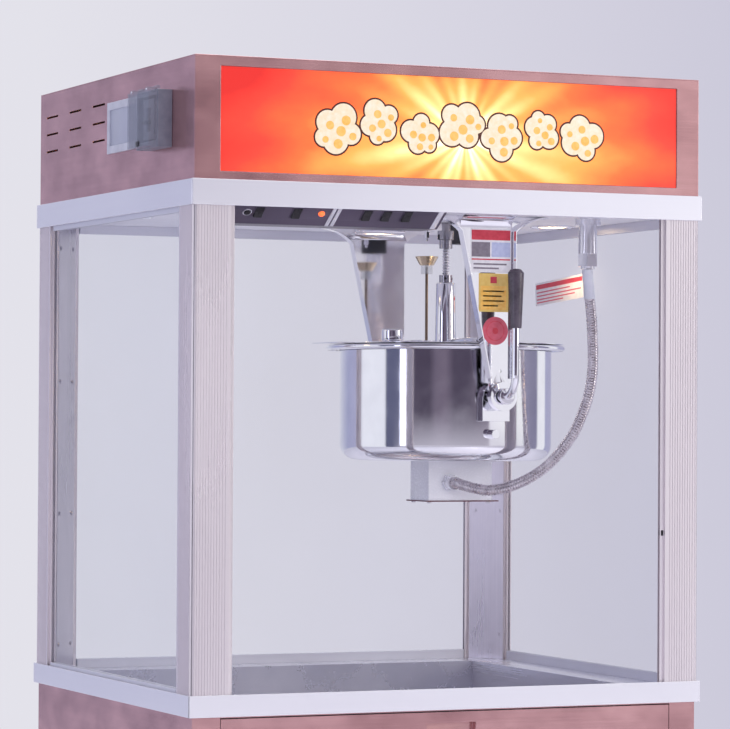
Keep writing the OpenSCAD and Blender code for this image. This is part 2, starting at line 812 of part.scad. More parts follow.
// the generic labels on the front arm and on the right pane
module labels() {
  y = -arm_gap - arm_t;
  t = 0.4;
  color("gold") {
    at_kettle() {
      block([-64.5, y - t, 1545.5], [19, y, 1627]);
      block([-47.5, y - t, 1473], [13.5, y, 1544]);
      translate([-13, y, 1438]) rotate([90, 0, 0]) cylinder(h = t, r = 26);
    }
    placed() translate([glass_x - glass_t / 2 - t, 120, 1531]) rotate([-3.5, 0, 0])
      translate([0, -105, -24]) cube([t, 210, 48]);
  }
}

// the ceiling fitting that the hose goes into: cap, nut, body, flange and thread
module hose_fitting() {
  z0 = hose_points[len(hose_points) - 1][2] + gap;
  color("silver") placed() translate([fitting_x, fitting_y, 0]) difference() {
    union() {
      translate([0, 0, z0]) cylinder(h = 6, r = 13);
      translate([0, 0, z0 + 5]) cylinder(h = 23, r = 20, $fn = 6);
      translate([0, 0, z0 + 28]) cylinder(h = ceiling_z - z0 - 39, r1 = 18, r2 = 16.5);
      translate([0, 0, ceiling_z - 12]) cylinder(h = 12, r = 24);
      translate([0, 0, ceiling_z - 1]) cylinder(h = 16, r = 8.9);
    }
    translate([0, 0, z0 - 5]) cylinder(h = 130, r = 6);
  }
}

module kettle_hose() {
  color("lightgray") placed() swept_tube(hose_points, hose_d, hose_sides);
}

// the inlet for the mains lead
module cable_gland() {
  color("black") placed() translate([300, base_y, 180]) rotate([-90, 0, 0]) difference() {
    union() {
      translate([0, 0, -12]) cylinder(h = 12, r = 9.9);
      cylinder(h = 6, r = 16, $fn = 6);
    }
    translate([0, 0, -20]) cylinder(h = 40, r = 5);
  }
}

// the inner pan with its rolled rim
module kettle_pan() {
  t = 2;
  rim_in = rim_z - rim_t;
  color("silver") at_kettle() rotate_extrude($fn = 128)
    polygon(concat([[0, pan_floor - t], [pan_r - 24, pan_floor - t]],
      arc(pan_r - 24, pan_floor + 24 - t, 24, -90, 0, 6),
      [[pan_r, rim_in + 1.6], [rim_r - 5, rim_in + 1.6], [rim_r - 5, rim_in]],
      arc(rim_r - 5, rim_z - 5, 5, -90, 90, 8),
      [[pan_r - t + 4, rim_z]],
      [[pan_r - t, rim_z - 4]],
      arc(pan_r - 24, pan_floor + 24 - t, 24 - t, 0, -90, 6),
      [[0, pan_floor]]));
}

// the polished outer shell around the pan and its heater
module kettle_shell() {
  t = 1.5;
  r = kettle_r;
  z = kettle_bottom;
  color("silver") at_kettle() rotate_extrude($fn = 128)
    polygon(concat([[0, z], [r - 30, z]], arc(r - 30, z + 30, 30, -90, 0, 8),
      [[r, rim_z - rim_t + 1.5], [r - t, rim_z - rim_t + 1.5]],
      arc(r - 30, z + 30, 30 - t, 0, -90, 8),
      [[0, z + t]]));
}

// the heating plate clamped under the pan
module heater_plate() {
  color("dimgray") at_kettle() translate([0, 0, kettle_bottom + 8]) cylinder(h = 13, r = pan_r - 28);
}

// the wiring box under the kettle with its base plate and screws
module terminal_box() {
  z0 = kettle_bottom - 78;
  color("whitesmoke") at_kettle() {
    difference() {
      block([-53, -41, z0 + 2], [80, 41, kettle_bottom]);
      block([-51.5, -39.5, z0 + 3], [78.5, 39.5, kettle_bottom + 1]);
      translate([gland_x, -38, kettle_bottom - 42]) rotate([90, 0, 0]) cylinder(h = 10, r = 9);
    }
    block([-59, -46, z0], [92, 46, z0 + 2.5]);
    for (x = [-49, 76]) for (y = [-36, 36]) translate([x, y, z0 - 3]) cylinder(h = 3.5, r = 4, $fn = 24);
  }
}

// the gland where the hose leaves the wiring box
module hose_gland() {
  color("silver") at_kettle() translate([gland_x, -41, kettle_bottom - 42]) rotate([90, 0, 0]) difference() {
    union() {
      cylinder(h = 9, r = 16, $fn = 6);
      translate([0, 0, 8]) cylinder(h = 17, r = 13.2);
      translate([0, 0, -10]) cylinder(h = 11, r = 8.9);
    }
    translate([0, 0, -20]) cylinder(h = 60, r = 6);
  }
}

// one trunnion with its block on the shell, drawn for the front
module trunnion(stub) {
  difference() {
    union() {
      translate([0, 0, pivot_z]) rotate([90, 0, 0]) cylinder(h = 222, r = 26);
      translate([-28, -222, pivot_z - 46]) cube([56, 222, 46]);
      translate([0, 0, pivot_z]) rotate([90, 0, 0]) cylinder(h = 262, r = trunnion_r);
      if (stub) translate([-2, 0, 1247]) rotate([90, 0, 0]) cylinder(h = 226, r = 8.5);
    }
    translate([0, 0, 1150]) cylinder(h = 240, r = kettle_r + 0.02, $fn = 128);
  }
}

module trunnions() {
  color("silver") at_kettle() {
    trunnion(true);
    mirror([0, 1, 0]) trunnion(false);
  }
}

// the tipping lever: hub, quarter bend and upright rod
module kettle_lever() {
  r = lever_d / 2;
  color("silver") at_kettle() {
    translate([0, -262, pivot_z]) rotate([90, 0, 0]) cylinder(h = 8, r = 15);
    translate([0, lever_bend - lever_reach, pivot_z + lever_bend]) rotate([0, 90, 180])
      rotate_extrude(angle = 90) translate([lever_bend, 0]) circle(r = r);
    translate([0, -lever_reach, pivot_z + lever_bend]) cylinder(h = grip_z - pivot_z - lever_bend, r = r);
  }
}

module lever_grip() {
  color("black") at_kettle() translate([0, -lever_reach, grip_z]) rotate_extrude()
    polygon([[0, 0], [11, 0], [11.6, 1.5], [15, 103], [13.4, 107], [0, 109]]);
}

// the bar across the rim that carries the lids and the stirrer's bearing tower
module lid_bar() {
  lug_top = hinge_z + 4;
  color("silver") at_kettle() difference() {
    union() {
      block([-12, -214, bar_z], [12, 214, bar_z + 5]);
      for (y = [-200, -62, 56, 194]) block([-hinge_x - 4, y, bar_z], [hinge_x + 4, y + 6, lug_top]);
      for (s = [-1, 1]) for (y = [-197, 58]) translate([s * hinge_x, y, hinge_z]) rotate([-90, 0, 0])
        cylinder(h = 139, r = hinge_r, $fn = 32);
      translate([0, 0, bar_z]) cylinder(h = 120, r1 = 20, r2 = 18);
    }
    translate([0, 0, bar_z - 5]) cylinder(h = 140, r = 4.5 + running_gap);
    translate([funnel_x, funnel_y, bar_z - 5]) cylinder(h = 60, r = 4);
  }
}

// half of the lid on its two hinge knuckles, drawn for the right side
module lid_half(tab) {
  z0 = hinge_z - 5.5;
  difference() {
    union() {
      difference() {
        translate([0, 0, z0]) cylinder(h = 1.5, r = rim_r - 3, $fn = 128);
        block([-300, -300, z0 - 1], [hinge_x + 8, 300, z0 + 5]);
      }
      if (tab) block([rim_r - 40, -60, z0], [rim_r + 23, 60, z0 + 1.5]);
      for (y = [-185, 75]) {
        block([hinge_x, y, z0], [hinge_x + 9, y + 110, z0 + 1.5]);
        translate([hinge_x, y, hinge_z]) rotate([-90, 0, 0]) cylinder(h = 110, r = 5.5, $fn = 32);
      }
      translate([112, 0, z0 + 1]) cylinder(h = 28, r = 20);
    }
    for (y = [-185, 75]) translate([hinge_x, y - 5, hinge_z]) rotate([-90, 0, 0])
      cylinder(h = 120, r = hinge_r + running_gap, $fn = 32);
  }
}

module lid_right() {
  color("silver") at_kettle() lid_half(false);
}

module lid_left() {
  color("silver") at_kettle() mirror([1, 0, 0]) lid_half(true);
}

// the funnel and tube that lead the oil into the pan
module oil_funnel() {
  color("goldenrod") at_kettle() translate([funnel_x, funnel_y, 0]) rotate_extrude()
    polygon([[1.6, bar_z - 3], [3.6, bar_z - 3], [3.6, bar_z + 5], [6, bar_z + 5], [6, bar_z + 8], [2.8, bar_z + 8],
      [2.8, 1556], [11.5, 1556], [11.5, 1573], [14, 1573], [23, 1590], [21.5, 1590], [12, 1575], [1.6, 1572]]);
}

// the stirrer: shaft, driven half of the coupling, collar and sweep
module agitator() {
  z = pan_floor + 3;
  color("silver") at_kettle() {
    translate([0, 0, z]) cylinder(h = dog_z - 3 - z, r = 4.5);
    translate([0, 0, dog_z - 16]) cylinder(h = 16, r = 12.5);
    translate([-12, -3.7, dog_z - 1]) cube([24, 7.4, 9]);
    translate([0, 0, bar_z + 121]) cylinder(h = 14, r = 12.5);
    translate([0, 0, z]) cylinder(h = 16, r = 14);
    translate([-150, -6, z]) cube([300, 12, 4]);
    for (x = [-142, -80, 80, 142]) translate([x, 0, z + 3]) cylinder(h = 34, r = 4);
  }
}

module agitator_spring() {
  z0 = bar_z + 135;
  color("gray") at_kettle() difference() {
    translate([0, 0, z0]) cylinder(h = dog_z - 16 - z0, r = 7);
    translate([0, 0, z0 - 1]) cylinder(h = 80, r = 4.6);
  }
}

base_cabinet();
lower_trim();
deck_pan();
sifting_screen();
corner_posts();
post_covers();
glass_panes();
glass_rails();
upper_trim();
header_shell();
header_top();
ceiling_pan();
sign_panel();
sign_lamps();
gear_motor();
oil_nozzle();
downlights();
control_box();
pilot_lamp();
breaker_box();
window_bezel();
arm_front();
arm_rear();
hose_fitting();
kettle_hose();
labels();
cable_gland();
rigid_forks();
breaker_cover();
breaker_toggle();
drive_dog();
kettle_pan();
kettle_shell();
heater_plate();
terminal_box();
hose_gland();
trunnions();
kettle_lever();
lever_grip();
lid_bar();
lid_left();
lid_right();
oil_funnel();
agitator();
agitator_spring();
push_button();
rocker_1();
rocker_2();
rocker_3();
rocker_4();
rocker_5();
door_left();
door_right();
crumb_drawer();
swivel_fork_left();
swivel_fork_right();
wheel_front_left();
wheel_front_right();
wheel_back_left();
wheel_back_right();
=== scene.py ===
"""Looks of a popcorn machine cart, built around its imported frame.

Every class is one sub-assembly. It reads its places from the frame, builds its meshes in metres at
those places, dresses them with procedural finishes and lets each piece ride on its body.
"""

import json
import logging
import math
from dataclasses import dataclass, field
from enum import Enum

import bmesh
import bpy
from mathutils import Matrix, Vector


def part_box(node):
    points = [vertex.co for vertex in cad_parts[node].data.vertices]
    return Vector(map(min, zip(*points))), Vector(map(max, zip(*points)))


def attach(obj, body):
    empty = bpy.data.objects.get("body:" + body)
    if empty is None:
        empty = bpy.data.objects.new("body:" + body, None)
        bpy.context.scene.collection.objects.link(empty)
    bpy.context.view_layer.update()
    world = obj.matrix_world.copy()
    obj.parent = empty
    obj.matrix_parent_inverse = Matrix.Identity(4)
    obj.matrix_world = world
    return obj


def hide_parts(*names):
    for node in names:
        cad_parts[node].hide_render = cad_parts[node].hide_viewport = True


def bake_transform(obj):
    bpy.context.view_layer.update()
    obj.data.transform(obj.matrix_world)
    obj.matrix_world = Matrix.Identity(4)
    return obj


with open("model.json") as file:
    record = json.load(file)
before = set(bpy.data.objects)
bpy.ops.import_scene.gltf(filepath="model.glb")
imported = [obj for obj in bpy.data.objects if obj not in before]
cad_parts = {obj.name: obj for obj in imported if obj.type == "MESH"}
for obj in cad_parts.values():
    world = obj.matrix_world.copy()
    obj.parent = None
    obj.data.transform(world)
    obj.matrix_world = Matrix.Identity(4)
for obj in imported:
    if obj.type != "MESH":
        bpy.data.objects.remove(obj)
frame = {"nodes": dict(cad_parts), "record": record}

log = logging.getLogger("popcorn_cart")

MM = 0.001
ROUND_STEPS = 192
LOW_SHARE = 0.3
HIGH_SHARE = 0.7
BODY_OF = {n: body for body, nodes in frame["record"]["behaviour"]["bodies"].items() for n in nodes}
SLOT_OF = {row["node"]: row["material_slot"] for row in frame["record"]["subparts"]}


class Grain(Enum):
    """The axes along which a sheet's scratches run long, as X, Y and Z."""

    ALONG_Y = (False, True, False)
    UPRIGHT = (False, False, True)
    LEVEL = (True, True, False)


# ---------------------------------------------------------------------------------------------
# Material helpers
# ---------------------------------------------------------------------------------------------


def linear(code: str, alpha: float = 1.0) -> tuple[float, float, float, float]:
    """Turns an sRGB hex colour into linear values.

    Args:
        code: The colour as six hex digits after a hash.
        alpha: The fourth value.

    Returns:
        Red, green, blue and alpha, linear.
    """
    parts = [int(code[i:i + 2], 16) / 255 for i in (1, 3, 5)]
    red, green, blue = (c / 12.92 if c <= 0.04045 else ((c + 0.055) / 1.055) ** 2.4 for c in parts)
    return red, green, blue, alpha


def add_node(tree: bpy.types.NodeTree, kind: str, settings: dict | None = None,
             links: dict | None = None) -> bpy.types.Node:
    """Adds a node with its settings and links.

    Args:
        tree: The node tree that takes the node.
        kind: The node's type name.
        settings: Values by input name or number, or by property name; "stops" fills a colour ramp.
        links: Output sockets by input name or number.

    Returns:
        The new node.
    """
    node = tree.nodes.new(kind)
    for key, value in (settings or {}).items():
        if key == "stops":
            ramp = node.color_ramp.elements
            while len(ramp) < len(value):
                ramp.new(0.5)
            for stop, (place, colour) in zip(ramp, value):
                stop.position = place
                stop.color = linear(colour)
        elif isinstance(key, int) or key in node.inputs:
            node.inputs[key].default_value = value
        else:
            setattr(node, key, value)
    for key, socket in (links or {}).items():
        tree.links.new(socket, node.inputs[key])
    return node


@dataclass(frozen=True)
class Coat:
    """The shader of one material, on which patterns worked out from real sizes are laid."""

    tree: bpy.types.NodeTree
    shader: bpy.types.Node
    roughness: float

    def noise(self, sizes_mm: tuple[float, float, float], detail: float = 2.0) -> bpy.types.NodeSocket:
        """Adds a noise whose features have a real size along each axis.

        Args:
            sizes_mm: The features' size along X, Y and Z in millimetres.
            detail: The noise's octaves.

        Returns:
            The noise's value socket.
        """
        place = add_node(self.tree, "ShaderNodeTexCoord")
        scale = tuple(1 / (size * MM) for size in sizes_mm)
        mapping = add_node(self.tree, "ShaderNodeMapping", {"Scale": scale},
                           {"Vector": place.outputs["Object"]})
        texture = add_node(self.tree, "ShaderNodeTexNoise", {"Scale": 1.0, "Detail": detail},
                           {"Vector": mapping.outputs[0]})
        return texture.outputs["Fac"]

    def vary(self, socket: bpy.types.NodeSocket, stops: list[tuple[float, str]], glow: float = 0.0) -> None:
        """Spreads the colour over shades by a pattern.

        Args:
            socket: The pattern's value.
            stops: The shades, each with the value where it is reached.
            glow: How strongly the same colours shine by themselves.
        """
        ramp = add_node(self.tree, "ShaderNodeValToRGB", {"stops": stops}, {"Fac": socket})
        self.tree.links.new(ramp.outputs["Color"], self.shader.inputs["Base Color"])
        if glow:
            self.tree.links.new(ramp.outputs["Color"], self.shader.inputs["Emission Color"])
            self.shader.inputs["Emission Strength"].default_value = glow

    def roughen(self, socket: bpy.types.NodeSocket, spread: float) -> None:
        """Lets the roughness follow a pattern about its own value.

        Args:
            socket: The pattern's value.
            spread: How far the roughness moves either way.
        """
        span = add_node(self.tree, "ShaderNodeMapRange", {
            "From Min": LOW_SHARE, "From Max": HIGH_SHARE, "To Min": max(0.02, self.roughness - spread),
            "To Max": self.roughness + spread}, {"Value": socket})
        self.tree.links.new(span.outputs[0], self.shader.inputs["Roughness"])

    def emboss(self, socket: bpy.types.NodeSocket, depth_mm: float, strength: float) -> None:
        """Raises the surface by a pattern.

        Args:
            socket: The pattern's value.
            depth_mm: The relief's height in millimetres.
            strength: The share of the relief that shows.
        """
        bump = add_node(self.tree, "ShaderNodeBump", {"Distance": depth_mm * MM, "Strength": strength},
                        {"Height": socket})
        self.tree.links.new(bump.outputs[0], self.shader.inputs["Normal"])


@dataclass(frozen=True)
class Finish:
    """A surface finish: a named material between two shades."""

    name: str
    colour: str
    roughness: float = 0.4
    metallic: float = 0.0
    shade: str = "#808080"

    def material(self) -> bpy.types.Material:
        """Builds the material, or finds it if it is built already."""
        made = bpy.data.materials.get(self.name)
        if made is not None:
            return made
        made = bpy.data.materials.new(self.name)
        made.use_nodes = True
        tree = made.node_tree
        tree.nodes.clear()
        shader = add_node(tree, "ShaderNodeBsdfPrincipled", {
            "Base Color": linear(self.colour), "Roughness": self.roughness, "Metallic": self.metallic})
        add_node(tree, "ShaderNodeOutputMaterial", links={"Surface": shader.outputs[0]})
        self.dress(Coat(tree, shader, self.roughness))
        return made

    def shades(self) -> list[tuple[float, str]]:
        """Returns the stops of the finish's two shades."""
        return [(LOW_SHARE, self.shade), (HIGH_SHARE, self.colour)]

    def dress(self, coat: Coat) -> None:
        """Lays the finish's own pattern on the plain shader.

        Args:
            coat: The material's coat.
        """
        raise NotImplementedError


@dataclass(frozen=True)
class BrushedSheet(Finish):
    """Metal sheet that was brushed along one axis.

    The brush leaves long fine scratches, so light spreads across them and the colour clouds a little.
    The scratches are drawn a few times coarser than real ones, because finer ones wouldn't show.
    """

    grain: Grain = Grain.LEVEL
    scratch_mm: float = 2.2
    length_mm: float = 420.0
    cloud_mm: tuple[float, float] = (900.0, 130.0)
    scratch_share: float = 0.45
    metallic: float = 1.0

    def dress(self, coat: Coat) -> None:
        """Adds the scratches and the clouding; see the base class."""
        along = self.grain.value
        scratches = coat.noise(tuple(self.length_mm if part else self.scratch_mm for part in along), 4.0)
        clouds = coat.noise(tuple(self.cloud_mm[0 if part else 1] for part in along), 3.0)
        both = add_node(coat.tree, "ShaderNodeMix", {"data_type": "FLOAT", 0: self.scratch_share},
                        {2: clouds, 3: scratches})
        coat.vary(both.outputs[0], self.shades())
        coat.roughen(both.outputs[0], 0.05)
        coat.emboss(scratches, 0.05, 0.3 * self.scratch_share)


@dataclass(frozen=True)
class PolishedMetal(Finish):
    """Metal buffed to a mirror, with faint smears that dull it here and there."""

    metallic: float = 1.0
    smear_mm: float = 45.0

    def dress(self, coat: Coat) -> None:
        """Adds the smears; see the base class."""
        smears = coat.noise((self.smear_mm,) * 3, 4.0)
        coat.vary(smears, self.shades())
        coat.roughen(smears, 0.03)


@dataclass(frozen=True)
class MouldedPlastic(Finish):
    """Injection moulded plastic with the fine grain of its tool."""

    grain_mm: float = 1.2

    def dress(self, coat: Coat) -> None:
        """Adds the tool's grain; see the base class."""
        coat.vary(coat.noise((22.0,) * 3, 3.0), self.shades())
        grain = coat.noise((self.grain_mm,) * 3)
        coat.roughen(grain, 0.06)
        coat.emboss(grain, 0.04, 0.25)


@dataclass(frozen=True)
class PaintedSheet(Finish):
    """Sheet metal under a sprayed coat, which dries with a slight orange peel."""

    peel_mm: float = 3.0

    def dress(self, coat: Coat) -> None:
        """Adds the orange peel; see the base class."""
        coat.vary(coat.noise((160.0,) * 3), self.shades())
        peel = coat.noise((self.peel_mm,) * 3)
        coat.roughen(peel, 0.05)
        coat.emboss(peel, 0.06, 0.3)


@dataclass(frozen=True)
class ClearSheet(Finish):
    """Float glass or clear moulding: nearly all light passes, and the face still shines."""

    shade: str = "#C8D6DC"
    alpha: float = 0.12

    def dress(self, coat: Coat) -> None:
        """Makes the sheet clear, with a faint film of dust; see the base class."""
        coat.shader.inputs["Alpha"].default_value = self.alpha
        dust = coat.noise((140.0,) * 3, 5.0)
        coat.vary(dust, self.shades())
        coat.roughen(dust, 0.03)


@dataclass(frozen=True)
class PrintedFilm(Finish):
    """Vinyl film printed in one ink, slightly uneven as printing is."""

    def dress(self, coat: Coat) -> None:
        """Adds the ink's unevenness; see the base class."""
        ink = coat.noise((7.0,) * 3, 4.0)
        coat.vary(ink, self.shades())
        coat.roughen(ink, 0.04)


@dataclass(frozen=True)
class GlowingLens(Finish):
    """A lit lens or tube: opal plastic or glass that shines, its colour and glow varying faintly at random."""

    shade: str = "#FFF0D0"
    glow: float = 3.0

    def dress(self, coat: Coat) -> None:
        """Adds the light; see the base class."""
        coat.vary(coat.noise((14.0,) * 3), self.shades(), self.glow)


@dataclass(frozen=True)
class SunburstPrint(Finish):
    """Acrylic with a back print of rays that spread from a bright middle, lit from behind."""

    centre: tuple[float, float, float] = (0.0, 0.0, 0.0)
    rays: int = 22
    swells: int = 7
    reach_mm: float = 520.0
    flatness: float = 2.1
    glow: float = 0.75

    def dress(self, coat: Coat) -> None:
        """Adds the rays and the colours from the middle to the ends; see the base class."""
        place = add_node(coat.tree, "ShaderNodeTexCoord")
        local = add_node(coat.tree, "ShaderNodeMapping", {"Location": tuple(-part for part in self.centre)},
                         {"Vector": place.outputs["Object"]})
        split = add_node(coat.tree, "ShaderNodeSeparateXYZ", links={0: local.outputs[0]})
        share = 1 / (self.reach_mm * MM)
        flat = add_node(coat.tree, "ShaderNodeVectorMath",
                        {"operation": "MULTIPLY", 1: (share, 0.0, self.flatness * share)}, {0: local.outputs[0]})
        reach = add_node(coat.tree, "ShaderNodeVectorMath", {"operation": "LENGTH"}, {0: flat.outputs[0]})
        found = {"across": split.outputs["X"], "up": split.outputs["Z"], "reach": reach.outputs["Value"],
                 "cloud": coat.noise((150.0, 150.0, 90.0), 4.0)}
        for name, operation, *values in (
                ("angle", "ARCTAN2", "up", "across"),
                ("ray_turns", "MULTIPLY", "angle", float(self.rays)), ("ray", "SINE", "ray_turns"),
                ("swell_turns", "MULTIPLY", "angle", float(self.swells)), ("swell", "SINE", "swell_turns"),
                ("waves", "MULTIPLY_ADD", "ray", 0.6, "swell"), ("mist", "SUBTRACT", "cloud", 0.5),
                ("outwards", "MULTIPLY_ADD", "waves", 0.085, "reach"),
                ("pattern", "MULTIPLY_ADD", "mist", 0.35, "outwards")):
            numbers = {number: value for number, value in enumerate(values) if isinstance(value, float)}
            links = {number: found[value] for number, value in enumerate(values) if isinstance(value, str)}
            step = add_node(coat.tree, "ShaderNodeMath", {"operation": operation, **numbers}, links)
            found[name] = step.outputs[0]
        coat.vary(found["pattern"], [(0.0, "#FFF0CC"), (0.16, "#FFCC80"), (0.36, "#F89848"), (0.58, "#EC6230"),
                                     (0.8, "#DC3A2A"), (1.0, "#C0241E")], self.glow)


# Stainless sheet with a rose tinted coating: the scratches run along the sheet, and the tint clouds
ROSE_LEVEL = BrushedSheet("rose_tinted_steel_brushed_along", "#E2B2B2", 0.22, shade="#B98B8D",
                          cloud_mm=(120.0, 70.0), scratch_share=0.22, metallic=0.85)
ROSE_UPRIGHT = BrushedSheet("rose_tinted_steel_brushed_upright", "#DDB0B1", 0.22, shade="#B78D90",
                            grain=Grain.UPRIGHT, cloud_mm=(140.0, 80.0), scratch_share=0.22, metallic=0.85)
# Bright satin stainless for the folded bands: nearly white where the light falls on it
BAND = BrushedSheet("satin_stainless_band", "#F4F4FA", 0.2, shade="#ECECF4", scratch_share=0.15, metallic=0.5)
# Stainless of the deck, which has a smoother brushed face
DECK = BrushedSheet("deck_stainless_brushed", "#E0E0EA", 0.28, shade="#CDCDD9", grain=Grain.ALONG_Y,
                    scratch_share=0.15, metallic=0.7)
# Extruded aluminium, brushed along the extrusion
POST = BrushedSheet("extruded_aluminium_brushed", "#ECE5E8", 0.24, shade="#DFD7DC", grain=Grain.UPRIGHT,
                    length_mm=260.0, scratch_share=0.15, metallic=0.55)
COVER = BrushedSheet("cover_steel_brushed", "#CDC7CD", 0.3, shade="#B0AAB2", grain=Grain.UPRIGHT,
                     cloud_mm=(160.0, 50.0), scratch_share=0.35)
RAIL = BrushedSheet("rail_aluminium_mill", "#E8E8F0", 0.34, shade="#DADAE4", scratch_share=0.2, metallic=0.5)
# Wound hose steel: dull bright ridges over darker grooves
WOUND = PolishedMetal("wound_hose_steel", "#E6E0E6", 0.28, shade="#B8B0B6", smear_mm=12.0, metallic=0.85)
# Bright nickel of the ceiling fitting and the gland, and of the spring's wire
FITTING = PolishedMetal("nickel_plated_fitting", "#F2F2F8", 0.2, shade="#E6E6EE", metallic=0.7)
SPRING = PolishedMetal("spring_wire", "#F0F0F6", 0.3, shade="#DCDCE6")
ZINC = BrushedSheet("zinc_plated_steel", "#B9BBC2", 0.38, shade="#94969E", grain=Grain.UPRIGHT, length_mm=60.0)
TURNED = BrushedSheet("turned_steel", "#C4C2C8", 0.24, shade="#9C9AA2", grain=Grain.UPRIGHT, length_mm=40.0)
# Mirror polished stainless: it shows the room, so its own colour is nearly even
MIRROR = PolishedMetal("mirror_polished_stainless", "#F8F8FC", 0.08, shade="#F0F0F5")
CHROME = PolishedMetal("chrome_plating", "#F6F6FA", 0.06, shade="#ECECF2")
BRASS = PolishedMetal("polished_brass", "#EAD9BE", 0.18, shade="#D6C09C")
DARK_TUBE = PolishedMetal("darkened_oil_tube", "#8A7868", 0.22, shade="#6E5E52")
PLATE = PaintedSheet("dark_red_base_plate", "#6A2838", 0.4, shade="#571E2C")
WHITE_SHEET = PaintedSheet("white_powder_coat", "#F2F2F8", 0.45, shade="#E8E8F0")
BOX_SHEET = PaintedSheet("gloss_white_box_enamel", "#F6F6FB", 0.25, shade="#EEEEF5")
DARK_SHEET = PaintedSheet("dark_satin_coat", "#5E5468", 0.38, shade="#4C4456")
MOTOR_COAT = PaintedSheet("motor_casing_coat", "#34343A", 0.5, shade="#24242A")
HEATER = PaintedSheet("cast_heater_face", "#4A4644", 0.7, shade="#33302F")
BLACK = MouldedPlastic("black_moulded_switch", "#201E24", 0.3, shade="#121116")
GRIP = MouldedPlastic("black_phenolic_grip", "#5A525E", 0.26, shade="#403A44")
BREAKER_GREY = MouldedPlastic("grey_moulded_box", "#8B8E9C", 0.5, shade="#767988")
BEZEL = MouldedPlastic("pale_moulded_bezel", "#CFD0DC", 0.45, shade="#BCBECB")
HOSE_SLEEVE = MouldedPlastic("pale_shrink_sleeve", "#E4E6F0", 0.35, shade="#D4D6E4")
TYRE = MouldedPlastic("grey_rubber_tread", "#4C4C50", 0.75, shade="#38383C", grain_mm=2.0)
GLASS = ClearSheet("clear_float_glass", "#B8C2DA", 0.04, shade="#A8B4D0", alpha=0.08)
SMOKE = ClearSheet("smoky_clear_moulding", "#A2A6B6", 0.12, shade="#868A9A", alpha=0.35)
SLEEVE = ClearSheet("clear_sleeve_moulding", "#E4E4EC", 0.1, alpha=0.3)
WINDOW = ClearSheet("pale_window_moulding", "#C4C8DA", 0.2, shade="#AEB2C6", alpha=0.85)
OPAL = GlowingLens("opal_lamp_tube", "#FFFFFF", 0.4, glow=0.02)
# The acrylic's edge, which stays dark beside the lit print
ACRYLIC = MouldedPlastic("orange_acrylic_slab", "#5A3428", 0.3, shade="#4E2C22")
WARM_LENS = GlowingLens("warm_downlight_lens", "#FFE9C0", 0.3, glow=9.0, shade="#FFD890")
PILOT = GlowingLens("orange_pilot_lens", "#FF8A4A", 0.3, glow=1.2, shade="#E8502A")
PAPER = PrintedFilm("white_label_film", "#F2F0F4", 0.4, shade="#E4E2E8")
RED_INK = PrintedFilm("red_label_ink", "#D8495A", 0.4, shade="#C93A4A")
PINK_INK = PrintedFilm("rose_red_label_ink", "#D9667A", 0.42, shade="#CC5468")
YELLOW_INK = PrintedFilm("yellow_label_ink", "#F0CF7E", 0.4, shade="#E8C26A")
BLUE_INK = PrintedFilm("pale_blue_label_ink", "#C6CCE8", 0.4, shade="#B4BCDE")
GREY_INK = PrintedFilm("grey_label_ink", "#8C8490", 0.4, shade="#7A727E")
PUFF_CREAM = PrintedFilm("cream_sign_ink", "#FFF4DC", 0.4, shade="#FBE6BE")
PUFF_EDGE = PrintedFilm("dark_sign_ink", "#5A2418", 0.4, shade="#471A12")
PUFF_BUTTER = PrintedFilm("butter_sign_ink", "#FFD27A", 0.4, shade="#F8BE58")


# ---------------------------------------------------------------------------------------------
# Mesh helpers
# ---------------------------------------------------------------------------------------------


@dataclass
class Piece:
    """A finished piece: its mesh in the frame, its body, its finish and the nodes it stands for."""

    name: str
    body: str
    finish: Finish
    slot: str | None = None
    stands_for: tuple[str, ...] = ()
    sharp_deg: float = 32.0
    bevel_mm: float = 0.0
    bevel_steps: int = 2

    def place(self, mesh: bpy.types.Mesh) -> bpy.types.Object:
        """Puts the mesh in the scene as this piece.

        Args:
            mesh: The piece's mesh, in metres, in the frame.

        Returns:
            The piece's object.
        """
        mesh.materials.clear()
        mesh.materials.append(self.finish.material())
        for face in mesh.polygons:
            face.use_smooth = True
        mesh.set_sharp_from_angle(angle=math.radians(self.sharp_deg))
        made = bpy.data.objects.new(self.name, mesh)
        bpy.context.scene.collection.objects.link(made)
        if self.bevel_mm:
            edge = made.modifiers.new("eased_edges", "BEVEL")
            edge.width = self.bevel_mm * MM
            edge.segments = self.bevel_steps
            edge.limit_method = "ANGLE"
            edge.angle_limit = math.radians(40)
            edge.harden_normals = True
        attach(made, self.body)
        if self.stands_for:
            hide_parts(*self.stands_for)
        log.info("%s rides on %s, %d faces", self.name, self.body, len(mesh.polygons))
        return made

    def close(self, bm: bmesh.types.BMesh) -> bpy.types.Object:
        """Merges doubles, turns the faces outwards and puts the mesh in the scene.

        Args:
            bm: The piece's mesh as made by operators. It is freed.

        Returns:
            The piece's object.
        """
        bmesh.ops.remove_doubles(bm, verts=bm.verts, dist=1e-6)
        bmesh.ops.recalc_face_normals(bm, faces=bm.faces)
        mesh = bpy.data.meshes.new(self.name)
        bm.to_mesh(mesh)
        bm.free()
        return self.place(mesh)

    def turned(self, profile_mm: list[tuple[float, float]], centre: Vector,
               axis: Vector = Vector((0, 0, 1)), steps: int = 64) -> bpy.types.Object:
        """Turns the piece from one outline; see add_turned."""
        bm = bmesh.new()
        add_turned(bm, profile_mm, centre, axis, steps)
        return self.close(bm)

    def block(self, low: Vector, high: Vector, bevel_mm: float = 0.0,
              turn: Matrix | None = None) -> bpy.types.Object:
        """Makes the piece one box; see add_block."""
        bm = bmesh.new()
        add_block(bm, low, high, bevel_mm, turn)
        return self.close(bm)


